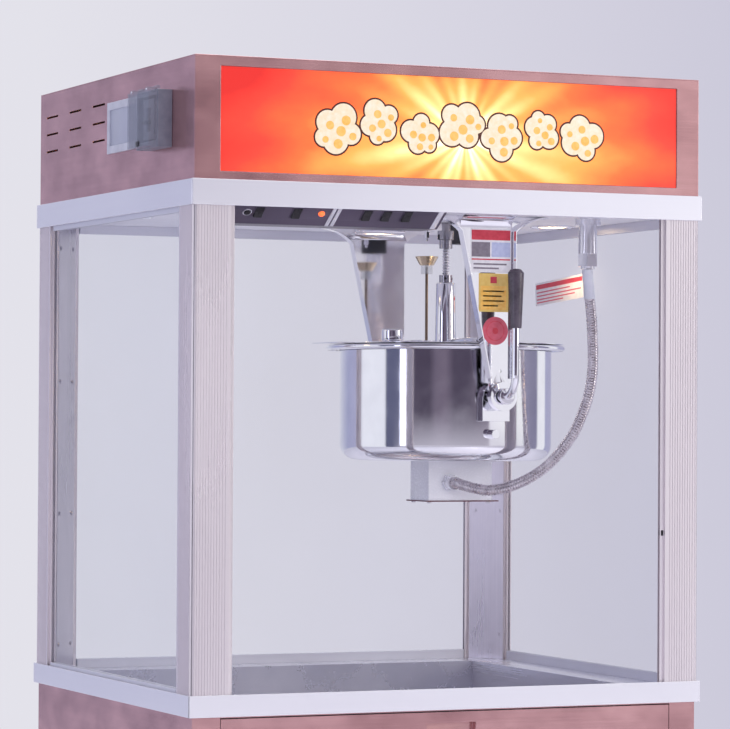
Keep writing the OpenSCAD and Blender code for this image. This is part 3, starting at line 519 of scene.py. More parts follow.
def piece_for(node: str, name: str, finish: Finish, **more) -> Piece:
    """Describes a piece that stands for a node of the frame and rides where that node does.

    Args:
        node: The node that the piece stands for.
        name: The piece's own name.
        finish: Its finish.
        more: Other fields of the piece.

    Returns:
        The piece's description.
    """
    return Piece(name, BODY_OF[node], finish, SLOT_OF[node], (node,), **more)


def extra(node: str, name: str, finish: Finish, **more) -> Piece:
    """Describes a small piece that goes with a node, rides where it does and shares its slot.

    Args:
        node: The node that it goes with.
        name: The piece's own name.
        finish: Its finish.
        more: Other fields of the piece.

    Returns:
        The piece's description.
    """
    return Piece(name, BODY_OF[node], finish, SLOT_OF[node], **more)


def eased_copy(node: str, name: str, finish: Finish, bevel_mm: float = 0.6) -> bpy.types.Object:
    """Makes a piece from a node's own shape, with its flat faces joined and its edges eased.

    Args:
        node: The node to copy.
        name: The piece's name.
        finish: Its finish.
        bevel_mm: How far the edges are eased.

    Returns:
        The piece's object.
    """
    bm = bmesh.new()
    bm.from_mesh(frame["nodes"][node].data)
    bmesh.ops.remove_doubles(bm, verts=bm.verts, dist=2e-6)
    bmesh.ops.dissolve_limit(bm, angle_limit=math.radians(0.6), verts=bm.verts, edges=bm.edges)
    mesh = bpy.data.meshes.new(name)
    bm.to_mesh(mesh)
    bm.free()
    return piece_for(node, name, finish, bevel_mm=bevel_mm).place(mesh)


def add_block(bm: bmesh.types.BMesh, low: Vector, high: Vector, bevel_mm: float = 0.0,
              turn: Matrix | None = None) -> list[bmesh.types.BMVert]:
    """Adds a box between two corners, with rounded edges.

    Args:
        bm: The mesh that takes it.
        low: Its lowest corner, in metres.
        high: Its highest corner.
        bevel_mm: The radius of its edges.
        turn: A matrix that then moves the box.

    Returns:
        The box's vertices.
    """
    low, high = Vector(low), Vector(high)
    place = Matrix.Translation((low + high) / 2) @ Matrix.Diagonal((*(high - low), 1.0))
    part = bmesh.new()
    bmesh.ops.create_cube(part, size=1.0, matrix=place)
    if bevel_mm:
        bmesh.ops.bevel(part, geom=part.edges[:], offset=bevel_mm * MM, segments=3, profile=0.5,
                        affect="EDGES", material=-1)
    if turn is not None:
        bmesh.ops.transform(part, matrix=turn, verts=part.verts)
    return join_part(bm, part)


def join_part(bm: bmesh.types.BMesh, part: bmesh.types.BMesh) -> list[bmesh.types.BMVert]:
    """Moves one mesh into another.

    Args:
        bm: The mesh that takes it.
        part: The mesh that is taken. It is freed.

    Returns:
        The vertices that were added.
    """
    bmesh.ops.recalc_face_normals(part, faces=part.faces)
    mesh = bpy.data.meshes.new("part")
    part.to_mesh(mesh)
    part.free()
    before = len(bm.verts)
    bm.from_mesh(mesh)
    bpy.data.meshes.remove(mesh)
    bm.verts.ensure_lookup_table()
    return bm.verts[before:]


def add_turned(bm: bmesh.types.BMesh, profile_mm: list[tuple[float, float]], centre: Vector,
               axis: Vector = Vector((0, 0, 1)), steps: int = 64) -> list[bmesh.types.BMVert]:
    """Adds a part turned on a lathe.

    Args:
        bm: The mesh that takes it.
        profile_mm: Radius and height along the axis of each point of the outline, in millimetres.
        centre: Where the height is nought, in metres.
        axis: The direction of the height.
        steps: The number of faces round it.

    Returns:
        The part's vertices.
    """
    part = bmesh.new()
    points = [part.verts.new((radius * MM, 0.0, height * MM)) for radius, height in profile_mm]
    edges = [part.edges.new(pair) for pair in zip(points, points[1:])]
    bmesh.ops.spin(part, geom=points + edges, cent=(0, 0, 0), axis=(0, 0, 1), angle=math.tau,
                   steps=steps, use_merge=True)
    bmesh.ops.remove_doubles(part, verts=part.verts, dist=1e-6)
    turn = Vector((0, 0, 1)).rotation_difference(Vector(axis)).to_matrix().to_4x4()
    bmesh.ops.transform(part, matrix=Matrix.Translation(centre) @ turn, verts=part.verts)
    return join_part(bm, part)


def swept_mesh(name: str, points: list[Vector], radius: float, scale: list[float] | None = None,
               smooth: bool = True, sides: int = 4) -> bpy.types.Mesh:
    """Sweeps a round section along points.

    Args:
        name: The mesh's name.
        points: The points of its middle line, in metres.
        radius: The section's radius.
        scale: The share of the radius at each point.
        smooth: Whether a smooth curve is drawn through the points.
        sides: A quarter of the faces round the section.

    Returns:
        The closed mesh.
    """
    curve = bpy.data.curves.new(name, "CURVE")
    curve.dimensions = "3D"
    curve.bevel_depth = radius
    curve.bevel_resolution = sides - 1
    curve.use_fill_caps = True
    line = curve.splines.new("NURBS" if smooth else "POLY")
    line.points.add(len(points) - 1)
    for number, (point, place) in enumerate(zip(line.points, points)):
        point.co = (*place, 1.0)
        point.radius = scale[number] if scale else 1.0
    if smooth:
        line.use_endpoint_u = True
        line.order_u = 4
        line.resolution_u = 6
    thing = bpy.data.objects.new(name, curve)
    bpy.context.scene.collection.objects.link(thing)
    bpy.context.view_layer.update()
    made = bpy.data.meshes.new_from_object(thing.evaluated_get(bpy.context.evaluated_depsgraph_get()))
    bpy.data.objects.remove(thing)
    bpy.data.curves.remove(curve)
    return made


def middle(node: str) -> Vector:
    """Returns the middle of a node's box."""
    low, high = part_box(node)
    return (low + high) / 2


def keep(node: str, finish: Finish) -> None:
    """Leaves a node as it is and gives it a finish.

    Args:
        node: The node's name.
        finish: Its finish.
    """
    shown = frame["nodes"][node]
    shown.data.materials.clear()
    shown.data.materials.append(finish.material())
    log.info("%s stays, in %s", node, finish.name)


def arc(across: float, up: float, radius: float, start_deg: float, end_deg: float,
        steps: int = 8) -> list[tuple[float, float]]:
    """Returns the points of an arc of an outline.

    Args:
        across: The middle's distance from the axis, in millimetres.
        up: The middle's height.
        radius: The arc's radius.
        start_deg: Where it starts, from the way outwards towards the way up.
        end_deg: Where it ends.
        steps: The number of its parts.

    Returns:
        The points in order.
    """
    turns = [math.radians(start_deg + (end_deg - start_deg) * k / steps) for k in range(steps + 1)]
    return [(across + radius * math.cos(turn), up + radius * math.sin(turn)) for turn in turns]


def rounded_stub(radius: float, low: float, high: float, ease: float = 1.5) -> list[tuple[float, float]]:
    """Returns the outline of a plain turned stub with eased rims.

    Args:
        radius: The stub's radius in millimetres.
        low: The height of its lower face.
        high: The height of its upper face.
        ease: The radius of its rims.

    Returns:
        The outline's points from the axis out and back.
    """
    return ([(0.0, low)] + arc(radius - ease, low + ease, ease, -90, 0, 4)
            + arc(radius - ease, high - ease, ease, 0, 90, 4) + [(0.0, high)])


# ---------------------------------------------------------------------------------------------
# Studio
# ---------------------------------------------------------------------------------------------


@dataclass
class Studio:
    """The camera, the plain floor, the soft lights and the pale surroundings."""

    eye: tuple[float, float, float] = (-2.5333, -5.7874, 1.2739)
    yaw_deg: float = 23.91
    pitch_deg: float = 0.933
    roll_deg: float = 0.3265
    lens_mm: float = 165.15
    floor_m: float = 11.0

    def camera(self) -> None:
        """Sets up the camera."""
        yaw, pitch, roll = (math.radians(turn) for turn in (self.yaw_deg, self.pitch_deg, self.roll_deg))
        forward = Vector((math.sin(yaw) * math.cos(pitch), math.cos(yaw) * math.cos(pitch), math.sin(pitch)))
        right = Vector((math.cos(yaw), -math.sin(yaw), 0.0))
        up = right.cross(forward)
        turned_right = right * math.cos(roll) + up * math.sin(roll)
        turned_up = up * math.cos(roll) - right * math.sin(roll)
        lens = bpy.data.cameras.new("camera")
        lens.lens = self.lens_mm
        lens.sensor_width = 36.0
        camera = bpy.data.objects.new("camera", lens)
        bpy.context.scene.collection.objects.link(camera)
        turn = Matrix((turned_right, turned_up, -forward)).transposed()
        camera.matrix_world = Matrix.Translation(self.eye) @ turn.to_4x4()
        bpy.context.scene.camera = camera

    def floor(self) -> None:
        """Lays the plain pale floor."""
        bm = bmesh.new()
        bmesh.ops.create_grid(bm, x_segments=1, y_segments=1, size=self.floor_m / 2)
        mesh = bpy.data.meshes.new("studio_floor")
        bm.to_mesh(mesh)
        bm.free()
        mesh.materials.append(PaintedSheet("studio_floor_paint", "#DCDAE4", 0.7, shade="#D6D4DE").material())
        floor = bpy.data.objects.new("studio_floor", mesh)
        bpy.context.scene.collection.objects.link(floor)

    def lamp(self, name: str, place: tuple[float, float, float], aim: tuple[float, float, float],
             size: tuple[float, float], watts: float, colour: str = "#FFFFFF", shine: bool = True) -> None:
        """Hangs a soft box.

        Args:
            name: The lamp's name.
            place: Where it hangs, in metres.
            aim: The point it faces.
            size: Its width and height.
            watts: Its power.
            colour: Its colour.
            shine: Whether polished faces mirror it.
        """
        light = bpy.data.lights.new(name, "AREA")
        light.shape = "RECTANGLE"
        light.size, light.size_y = size
        light.energy = watts
        light.color = linear(colour)[:3]
        lamp = bpy.data.objects.new(name, light)
        bpy.context.scene.collection.objects.link(lamp)
        turn = (Vector(place) - Vector(aim)).to_track_quat("Z", "Y").to_matrix().to_4x4()
        lamp.matrix_world = Matrix.Translation(place) @ turn
        lamp.visible_glossy = shine

    def lights(self) -> None:
        """Hangs the soft boxes: a key on the right, a fill on the left, one over the top and one in front."""
        self.lamp("key", (3.5, -2.65, 2.6), (0.1, 0.0, 1.3), (1.2, 2.4), 45.0, "#FFF8F2")
        self.lamp("fill", (-3.6, -1.6, 2.0), (0.0, 0.0, 1.2), (1.0, 2.6), 19.0, "#E6EAFF")
        self.lamp("top", (0.2, 0.4, 4.2), (0.0, 0.0, 1.0), (2.4, 2.4), 60.0)
        self.lamp("front", (0.6, -5.4, 1.9), (0.0, 0.0, 1.3), (2.0, 2.0), 75.0, shine=False)

    def surroundings(self) -> None:
        """Paints the pale lavender room round the set, with the darker gaps between its white screens."""
        world = bpy.data.worlds.new("room")
        world.use_nodes = True
        tree = world.node_tree
        tree.nodes.clear()
        place = add_node(tree, "ShaderNodeTexCoord")
        split = add_node(tree, "ShaderNodeSeparateXYZ", links={0: place.outputs["Generated"]})
        bearing = add_node(tree, "ShaderNodeMath", {"operation": "ARCTAN2"},
                           {0: split.outputs["X"], 1: split.outputs["Y"]})
        turn = add_node(tree, "ShaderNodeMapRange", {"From Min": -math.pi, "From Max": math.pi},
                        {"Value": bearing.outputs[0]})
        walls = add_node(tree, "ShaderNodeValToRGB", {"stops": [
            (0.0, "#50485A"), (0.044, "#50485A"), (0.07, "#73687A"), (0.097, "#6E6476"), (0.117, "#4E4658"),
            (0.161, "#4E4658"), (0.186, "#B6B3C4"), (0.205, "#B6B3C4"), (0.211, "#555672"), (0.254, "#555672"),
            (0.259, "#F6F7FF"), (0.35, "#F6F7FF"), (0.361, "#C9C6D6"), (0.389, "#ADACCB"), (0.433, "#A6A8C8"),
            (0.5, "#D5D6E4"), (0.549, "#E4E3EB"), (0.567, "#DAD8E4"), (0.583, "#CDCBDB"), (0.625, "#B2B0CC"),
            (0.683, "#B0AFCD"), (0.689, "#FAFAFF"), (0.736, "#FAFAFF"), (0.744, "#84809A"), (0.806, "#8E8AA0"),
            (0.811, "#FFFFFF"), (0.836, "#FFFFFF"), (0.917, "#F6F5FA"), (0.933, "#F0EEF6"), (0.938, "#7A7080"),
            (1.0, "#50485A")]},
            {"Fac": turn.outputs[0]})
        front = add_node(tree, "ShaderNodeMapRange", {"From Min": -0.1, "From Max": -0.4},
                         {"Value": split.outputs["Y"]})
        under = add_node(tree, "ShaderNodeMapRange", {"From Min": -0.035, "From Max": -0.07},
                         {"Value": split.outputs["Z"]})
        near_floor = add_node(tree, "ShaderNodeMath", {"operation": "MULTIPLY"},
                              {0: front.outputs[0], 1: under.outputs[0]})
        over = add_node(tree, "ShaderNodeMapRange", {"From Min": 0.5, "From Max": 0.65},
                        {"Value": split.outputs["Z"]})
        low = add_node(tree, "ShaderNodeMix", {"data_type": "RGBA", 7: linear("#CCC8D6")},
                       {0: near_floor.outputs[0], 6: walls.outputs["Color"]})
        both = add_node(tree, "ShaderNodeMix", {"data_type": "RGBA", 7: linear("#F0F0F8")},
                        {0: over.outputs[0], 6: low.outputs[2]})
        back = add_node(tree, "ShaderNodeBackground", {"Strength": 1.0}, {"Color": both.outputs[2]})
        add_node(tree, "ShaderNodeOutputWorld", links={"Surface": back.outputs[0]})
        bpy.context.scene.world = world

    def build(self) -> None:
        """Sets up the camera, the floor, the lights and the room."""
        bpy.context.scene.view_settings.view_transform = "Standard"
        self.camera()
        self.floor()
        self.lights()
        self.surroundings()


# ---------------------------------------------------------------------------------------------
# The hose
# ---------------------------------------------------------------------------------------------


@dataclass
class Hose:
    """The wound steel hose that takes the heater's wires from the kettle up to the ceiling."""

    diameter_mm: float = 21.0
    cabinet_shift_mm: float = 20.0
    winding_mm: float = 5.0
    sleeve_from_mm: float = 1500.0
    route_mm: tuple[tuple[float, float, float], ...] = (
        (175, -57, 1154), (175, -64, 1154), (180, -76, 1151), (190, -88, 1147), (204, -100, 1143),
        (219, -111, 1141), (238, -126, 1144), (258, -140, 1151), (280, -155, 1163), (302, -170, 1180),
        (321, -183, 1201), (337, -195, 1225), (351, -206, 1251), (361, -214, 1279), (369, -221, 1307),
        (374, -227, 1337), (376, -231, 1367), (375, -234, 1397), (373, -236, 1429), (370, -238, 1461),
        (366, -239, 1494), (362, -240, 1525), (360, -240, 1542), (360, -240, 1555))
    winding_shape: tuple[float, ...] = (1.0, 1.0, 0.91, 0.91)

    def line(self) -> list[Vector]:
        """Runs a smooth line through the route's points.

        Returns:
            Points a quarter of a winding apart, in metres.
        """
        points = [Vector((x + self.cabinet_shift_mm, y, z)) * MM for x, y, z in self.route_mm]
        ends = [points[0], *points, points[-1]]
        fine = []
        for before, start, end, after in zip(ends, ends[1:], ends[2:], ends[3:]):
            steps = max(1, round((end - start).length / (self.winding_mm * MM) * len(self.winding_shape)))
            for step in range(steps):
                t = step / steps
                fine.append(0.5 * (2 * start + t * (end - before)
                                   + t * t * (2 * before - 5 * start + 4 * end - after)
                                   + t ** 3 * (3 * start - before - 3 * end + after)))
        return fine + [points[-1]]

    def build(self) -> None:
        """Sweeps the windings and the sleeve, and bends them between cabinet and kettle."""
        line = self.line()
        sleeve_z = self.sleeve_from_mm * MM
        shape = [1.0 if point.z > sleeve_z else self.winding_shape[number % len(self.winding_shape)]
                 for number, point in enumerate(line)]
        shape[0] = shape[-1] = 1.0
        mesh = swept_mesh("flexible_hose", line, self.diameter_mm * MM / 2, shape, smooth=False, sides=6)
        mesh.materials.clear()
        mesh.materials.append(WOUND.material())
        mesh.materials.append(HOSE_SLEEVE.material())
        for face in mesh.polygons:
            face.use_smooth = True
            face.material_index = 1 if face.center.z > sleeve_z else 0
        mesh.set_sharp_from_angle(angle=math.radians(50))
        hose = bpy.data.objects.new("flexible_hose", mesh)
        bpy.context.scene.collection.objects.link(hose)
        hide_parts("kettle_hose")
        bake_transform(hose)


# ---------------------------------------------------------------------------------------------
# The cabinet
# ---------------------------------------------------------------------------------------------


@dataclass
class Header:
    """The sign header: its folded shell and top, the lit sign with its row of popcorn and the lamps."""

    puffs: int = 7
    row_mm: float = 480.0
    row_middle_mm: float = 33.0
    layer_mm: float = 0.3
    print_inset_mm: float = 15.6
    print_low_mm: float = 12.6
    print_top_mm: float = 2.5
    print_mm: float = 0.1
    outline_mm: float = 3.2
    lobes_mm: tuple[tuple[float, float, float], ...] = (
        (-15, 9, 17), (9, 17, 19), (20, -6, 15), (-3, -16, 19), (-21, -12, 13), (1, 2, 20))

    def disc(self, bm: bmesh.types.BMesh, x: float, z: float, radius: float, layer: float) -> None:
        """Adds a flat printed disc.

        Args:
            bm: The mesh that takes it.
            x: Its middle across the sign, in millimetres.
            z: Its middle's height.
            radius: Its radius.
            layer: How many layers it lies over the sign.
        """
        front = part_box("sign_panel")[0].y
        place = Vector((x * MM, front, z * MM))
        top = self.layer_mm * layer
        add_turned(bm, [(0.0, 0.0), (radius, 0.0), (radius, top), (0.0, top)], place, Vector((0, -1, 0)), 28)

    def popcorn(self) -> None:
        """Prints the row of popcorn: a dark outline, the cream lobes and the butter on them."""
        low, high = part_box("sign_panel")
        middle_z = (low.z + high.z) / 2 / MM
        outline, cream, butter = bmesh.new(), bmesh.new(), bmesh.new()
        for number in range(self.puffs):
            x = self.row_middle_mm + (number / (self.puffs - 1) - 0.5) * self.row_mm
            z = middle_z + (9.0 if number % 2 else -5.0) + 3.0 * math.sin(2.4 * number)
            size = 1.12 + 0.14 * math.cos(1.9 * number)
            turn = 0.9 * number
            for step, (across, up, radius) in enumerate(self.lobes_mm):
                rise = 0.12 * step
                lobe_x = x + size * (across * math.cos(turn) - up * math.sin(turn))
                lobe_z = z + size * (across * math.sin(turn) + up * math.cos(turn))
                self.disc(outline, lobe_x, lobe_z, size * radius + self.outline_mm, 1 + rise)
                self.disc(cream, lobe_x, lobe_z, size * radius, 2 + rise)
                self.disc(butter, lobe_x + 0.25 * radius, lobe_z - 0.3 * radius, 0.36 * size * radius, 3 + rise)
        extra("sign_panel", "sign_popcorn_outline", PUFF_EDGE).close(outline)
        extra("sign_panel", "sign_popcorn_cream", PUFF_CREAM).close(cream)
        extra("sign_panel", "sign_popcorn_butter", PUFF_BUTTER).close(butter)

    def build(self) -> None:
        """Builds the header."""
        eased_copy("header_shell", "header_folded_shell", ROSE_LEVEL, 0.9)
        eased_copy("header_top", "header_top_sheet", ROSE_LEVEL, 0.9)
        centre = middle("sign_panel")
        burst = SunburstPrint("backlit_acrylic_sunburst", "#FFB050", 0.25,
                              centre=(centre.x + 0.02, centre.y, centre.z - 0.012))
        eased_copy("sign_panel", "sign_acrylic", ACRYLIC, 0.5)
        low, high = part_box("sign_panel")
        inset, thin = self.print_inset_mm * MM, self.print_mm * MM
        extra("sign_panel", "sign_sunburst_print", burst).block(
            Vector((low.x + inset, low.y - 2 * thin, low.z + self.print_low_mm * MM)),
            Vector((high.x - inset, low.y - thin, high.z - self.print_top_mm * MM)))
        self.popcorn()
        keep("sign_lamps", OPAL)


@dataclass
class TrimBands:
    """The two folded bright bands between base, window and header."""

    def build(self) -> None:
        """Builds the bands."""
        eased_copy("lower_trim", "lower_trim_band", BAND, 1.2)
        eased_copy("upper_trim", "upper_trim_band", BAND, 1.2)


@dataclass
class Posts:
    """The four fluted posts with the riveted plates on their inner faces, a small glass clip and a white dot
    that stands for a second small fitting, its white a painted highlight.
    """

    inner_edge_mm: float = 72.5
    glint_dot_z_mm: float = 1220.0
    clip_z_mm: float = 1064.0

    def build(self) -> None:
        """Builds the posts, their plates, the white dot of painted highlight and the glass clip."""
        eased_copy("corner_posts", "fluted_corner_posts", POST, 0.25)
        keep("post_covers", COVER)
        low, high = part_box("corner_posts")
        edge = Vector((high.x - self.inner_edge_mm * MM, low.y, 0.0))
        # A small white disc in label film: it stands for a second small fitting on the post, and its white is a
        # painted highlight, the glint on that fitting
        extra("corner_posts", "post_painted_glint_dot", PAPER).turned(
            rounded_stub(3.5, 0.0, 1.2, 0.5), edge + Vector((0.001, 0.012, self.glint_dot_z_mm * MM)),
            Vector((-1, 0, 0)), 24)
        place = edge + Vector((-0.0035, 0.004, self.clip_z_mm * MM))
        extra("corner_posts", "glass_clip", BLACK).block(place, place + Vector((0.005, 0.012, 0.010)), 0.8)


@dataclass
class Glazing:
    """The three fixed panes and the grooved rails that hold them."""

    def build(self) -> None:
        """Builds the panes and rails."""
        eased_copy("glass_panes", "glass_sheets", GLASS, 0.4)
        eased_copy("glass_rails", "grooved_rails", RAIL, 0.4)


@dataclass
class Ceiling:
    """The white ceiling sheet with its lamps, the gear motor's block, its dog and the oil nozzle."""

    bezel_mm: float = 43.0
    lens_mm: float = 34.0

    def downlights(self) -> None:
        """Builds the lamps' rings, cans and lenses, and hangs their warm light."""
        low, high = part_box("downlights")
        bottom = low.z / MM
        ring, lens = bmesh.new(), bmesh.new()
        places = (Vector((low.x + self.bezel_mm * MM, high.y - self.bezel_mm * MM, 0.0)),
                  Vector((high.x - self.bezel_mm * MM, low.y + self.bezel_mm * MM, 0.0)))
        for number, place in enumerate(places):
            add_turned(ring, [(35.0, bottom + 1.4), (37.0, bottom + 0.2), (41.5, bottom + 0.3),
                              (self.bezel_mm, bottom + 1.8), (self.bezel_mm, bottom + 4.0),
                              (35.5, bottom + 4.0), (35.5, bottom + 41.0), (34.4, bottom + 41.0),
                              (34.4, bottom + 2.6), (35.0, bottom + 1.4)], place, steps=72)
            add_turned(lens, [(0.0, bottom + 1.2), (24.0, bottom + 1.6), (self.lens_mm, bottom + 2.8),
                              (self.lens_mm, bottom + 6.0), (0.0, bottom + 6.0)], place, steps=64)
            light = bpy.data.lights.new(f"cabinet_lamp_{number}", "SPOT")
            light.energy = 2.0
            light.color = linear("#FFDFAE")[:3]
            light.spot_size = math.radians(130)
            light.spot_blend = 0.6
            light.shadow_soft_size = 0.03
            lamp = bpy.data.objects.new(f"cabinet_lamp_{number}", light)
            bpy.context.scene.collection.objects.link(lamp)
            lamp.location = place + Vector((0, 0, low.z - 0.004))
        piece_for("downlights", "downlight_rings", CHROME).close(ring)
        extra("downlights", "downlight_lenses", WARM_LENS).close(lens)

    def build(self) -> None:
        """Builds the ceiling and what it carries."""
        eased_copy("ceiling_pan", "ceiling_sheet", WHITE_SHEET, 0.5)
        self.downlights()
        eased_copy("gear_motor", "gear_motor_casing", MOTOR_COAT, 0.8)
        eased_copy("drive_dog", "slotted_drive_dog", TURNED, 0.5)
        eased_copy("oil_nozzle", "oil_outlet", CHROME, 0.3)
        eased_copy("hose_fitting", "hose_ceiling_fitting", FITTING, 0.8)


@dataclass
class ControlPanel:
    """The sloping switch box under the ceiling, with its rockers, button, lamp and bright strips."""

    run_mm: float = 46.0
    share: float = 0.35
    strips_mm: tuple[tuple[float, float], ...] = ((-172.0, 7.0), (-162.0, 7.0), (37.0, 10.0))
    button_mm: float = 6.0

    def on_slope(self, x_mm: float, share: float) -> Matrix:
        """Finds a place on the slope.

        Args:
            x_mm: The place across the panel, in millimetres.
            share: How far down the slope it lies, from 0 to 1.

        Returns:
            A matrix that puts height on the slope's outward normal.
        """
        low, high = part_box("control_box")
        drop = (high.z - low.z) / MM
        place = Vector((x_mm, low.y / MM + self.run_mm * share, high.z / MM - drop * share)) * MM
        return Matrix.Translation(place) @ Matrix.Rotation(math.pi - math.atan2(drop, self.run_mm), 4, "X")

    def build(self) -> None:
        """Builds the panel."""
        eased_copy("control_box", "switch_box", DARK_SHEET, 0.5)
        for number in range(1, 6):
            eased_copy(f"rocker_{number}", f"rocker_switch_{number}", BLACK, 0.7)
        low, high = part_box("control_box")
        half_slope = math.hypot(self.run_mm, (high.z - low.z) / MM) / 2 - 1.5
        strips = bmesh.new()
        for x, width in self.strips_mm:
            add_block(strips, Vector((-width / 2, -half_slope, 0.05)) * MM,
                      Vector((width / 2, half_slope, 1.6)) * MM, 0.3, self.on_slope(x, 0.5))
        extra("control_box", "panel_divider_strips", BAND).close(strips)
        fold = low.y + self.run_mm * MM
        extra("control_box", "panel_lower_lip", BAND).block(
            Vector((low.x + 0.002, fold, low.z)), Vector((high.x - 0.002, fold + 0.003, low.z + 0.0015)), 0.3)
        self.button()
        self.set_in(piece_for("pilot_lamp", "pilot_lens", PILOT), middle("pilot_lamp").x / MM,
                    [(0.0, -4.0), (5.9, -4.0), (5.9, 2.0)] + arc(2.9, 1.4, 3.0, 20, 90, 6) + [(0.0, 4.4)], 40)

    def set_in(self, piece: Piece, x_mm: float, profile_mm: list[tuple[float, float]], steps: int) -> None:
        """Turns a piece and sets it in the slope.

        Args:
            piece: The piece.
            x_mm: Its place across the panel, in millimetres.
            profile_mm: Its outline.
            steps: The number of faces round it.
        """
        bm = bmesh.new()
        add_turned(bm, profile_mm, Vector(), steps=steps)
        bmesh.ops.transform(bm, matrix=self.on_slope(x_mm, self.share), verts=bm.verts)
        piece.close(bm)

    def button(self) -> None:
        """Builds the button's bright ring and its black cap."""
        x = middle("push_button").x / MM
        cap_r = self.button_mm
        inner = cap_r + 0.36
        rim = cap_r + 3.3
        self.set_in(extra("control_box", "button_bright_ring", CHROME), x,
                    [(inner, 0.2), (rim, 0.2), (rim, 1.8)] + arc(rim - 1.3, 1.9, 1.3, 0, 90, 5)
                    + [(cap_r + 0.7, 3.2), (inner, 2.8), (inner, 0.2)], 56)
        self.set_in(piece_for("push_button", "start_button_cap", BLACK), x,
                    [(0.0, -4.0), (cap_r - 0.1, -4.0), (cap_r - 0.1, 4.0)]
                    + arc(cap_r - 1.1, 4.0, 1.0, 0, 90, 4) + [(3.0, 5.0), (0.0, 4.7)], 48)


@dataclass
class BreakerBox:
    """The grey breaker box with its smoky cover and toggle, and the pale window beside it."""

    frame_mm: float = 14.0
    pocket_mm: float = 1.5
    pane_mm: float = 0.8

    def build(self) -> None:
        """Builds the box, the cover, the toggle and the window."""
        eased_copy("breaker_box", "breaker_housing", BREAKER_GREY, 1.2)
        eased_copy("breaker_cover", "breaker_smoky_cover", SMOKE, 1.0)
        eased_copy("breaker_toggle", "breaker_switch_toggle", BLACK, 0.7)
        self.trimmings()
        eased_copy("window_bezel", "window_frame", BEZEL, 0.9)
        low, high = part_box("window_bezel")
        edge = Vector((0.0, self.frame_mm, self.frame_mm)) * MM
        face = high.x - self.pocket_mm * MM
        extra("window_bezel", "window_pane", WINDOW).block(
            Vector((face - self.pane_mm * MM, low.y, low.z)) + edge, Vector((face, high.y, high.z)) - edge, 0.2)

    def trimmings(self) -> None:
        """Sets the screws on the cover's two hinges and the dark latch at its lower edge."""
        low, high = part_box("breaker_cover")
        centre_y = (low.y + high.y) / 2
        screws, latch = bmesh.new(), bmesh.new()
        for way in (-1, 1):
            place = Vector((low.x + 0.0021, centre_y + way * 0.038, high.z - 0.0085))
            add_turned(screws, rounded_stub(2.4, 0.0, 1.0, 0.3), place, Vector((-1, 0, 0)), 20)
        add_block(latch, Vector((low.x - 0.0012, centre_y - 0.008, low.z + 0.002)),
                  Vector((low.x + 0.0005, centre_y + 0.008, low.z + 0.011)), 0.4)
        extra("breaker_cover", "cover_hinge_screws", CHROME).close(screws)
        extra("breaker_cover", "cover_latch", BLACK).close(latch)


@dataclass
class Deck:
    """The serving deck with its well and the slotted sifting screen."""

    def build(self) -> None:
        """Builds the deck."""
        eased_copy("deck_pan", "serving_deck", DECK, 0.9)
        keep("sifting_screen", DECK)


@dataclass
class Base:
    """The base cabinet with its doors, crumb drawer and mains inlet."""

    def build(self) -> None:
        """Builds the base."""
        eased_copy("base_cabinet", "base_body", ROSE_LEVEL, 0.8)
        for side in ("left", "right"):
            eased_copy(f"door_{side}", f"base_door_{side}", ROSE_UPRIGHT, 0.6)
        eased_copy("crumb_drawer", "crumb_drawer_box", ROSE_LEVEL, 0.6)
        eased_copy("cable_gland", "mains_inlet_gland", BLACK, 0.6)


@dataclass
class Casters:
    """Four casters: zinc plated forks and grey rubber wheels on turned hubs."""

    tread_mm: float = 28.0
    radius_mm: float = 40.0
    hub_mm: float = 30.0
    round_mm: float = 4.0
    boss_mm: float = 11.0
    bore_mm: float = 4.1

    def wheel(self, node: str) -> None:
        """Builds a wheel's tyre and hub.

        Args:
            node: The wheel's node.
        """
        centre = middle(node)
        half = self.tread_mm / 2
        rim = self.radius_mm - self.round_mm
        ease, hub, boss, bore = self.round_mm, self.hub_mm, self.boss_mm, self.bore_mm
        axle = Vector((1, 0, 0))
        piece_for(node, f"{node}_tyre", TYRE).turned(
            [(hub, -half + 1)] + arc(rim, -half + ease, ease, -90, 0, 5) + arc(rim, half - ease, ease, 0, 90, 5)
            + [(hub, half - 1), (hub, -half + 1)], centre, axle, 72)
        extra(node, f"{node}_hub", BEZEL).turned(
            [(bore, -half - 1.9), (boss, -half - 1.9), (boss, -half + 4), (hub - 2, -half + 4),
             (hub, -half + 1.2), (hub, half - 1.2), (hub - 2, half - 4), (boss, half - 4), (boss, half + 1.9),
             (bore, half + 1.9), (bore, -half - 1.9)], centre, axle, 56)

    def build(self) -> None:
        """Builds the forks and the wheels."""
        eased_copy("rigid_forks", "rigid_caster_forks", ZINC, 0.5)
        for side in ("left", "right"):
            eased_copy(f"swivel_fork_{side}", f"swivel_caster_fork_{side}", ZINC, 0.5)
            self.wheel(f"wheel_front_{side}")
            self.wheel(f"wheel_back_{side}")


# ---------------------------------------------------------------------------------------------
# The kettle
# ---------------------------------------------------------------------------------------------


@dataclass
class Label:
    """A plain film label with blocks of colour in place of any wording."""

    name: str
    size_mm: tuple[float, float]
    ground: Finish
    blocks: tuple[tuple[Finish, float, float, float, float], ...]
    film_mm: float = 0.16
    ink_mm: float = 0.1
    bite_mm: float = 0.02

    def build(self, place: Matrix, first: bool = False) -> None:
        """Sticks the label on.

        Args:
            place: A matrix whose X runs across the label, Y up it and Z out of it, from its lower left.
            first: Whether this label stands for the node of all labels.
        """
        make = piece_for if first else extra
        make("labels", self.name, self.ground).block(
            Vector((0, 0, self.bite_mm)) * MM, Vector((*self.size_mm, self.film_mm)) * MM, 0.05, place)
        for number, (ink, left, low, right, high) in enumerate(self.blocks):
            extra("labels", f"{self.name}_block_{number}", ink).block(
                Vector((left, low, self.film_mm - self.bite_mm)) * MM,
                Vector((right, high, self.film_mm + self.ink_mm)) * MM, turn=place)


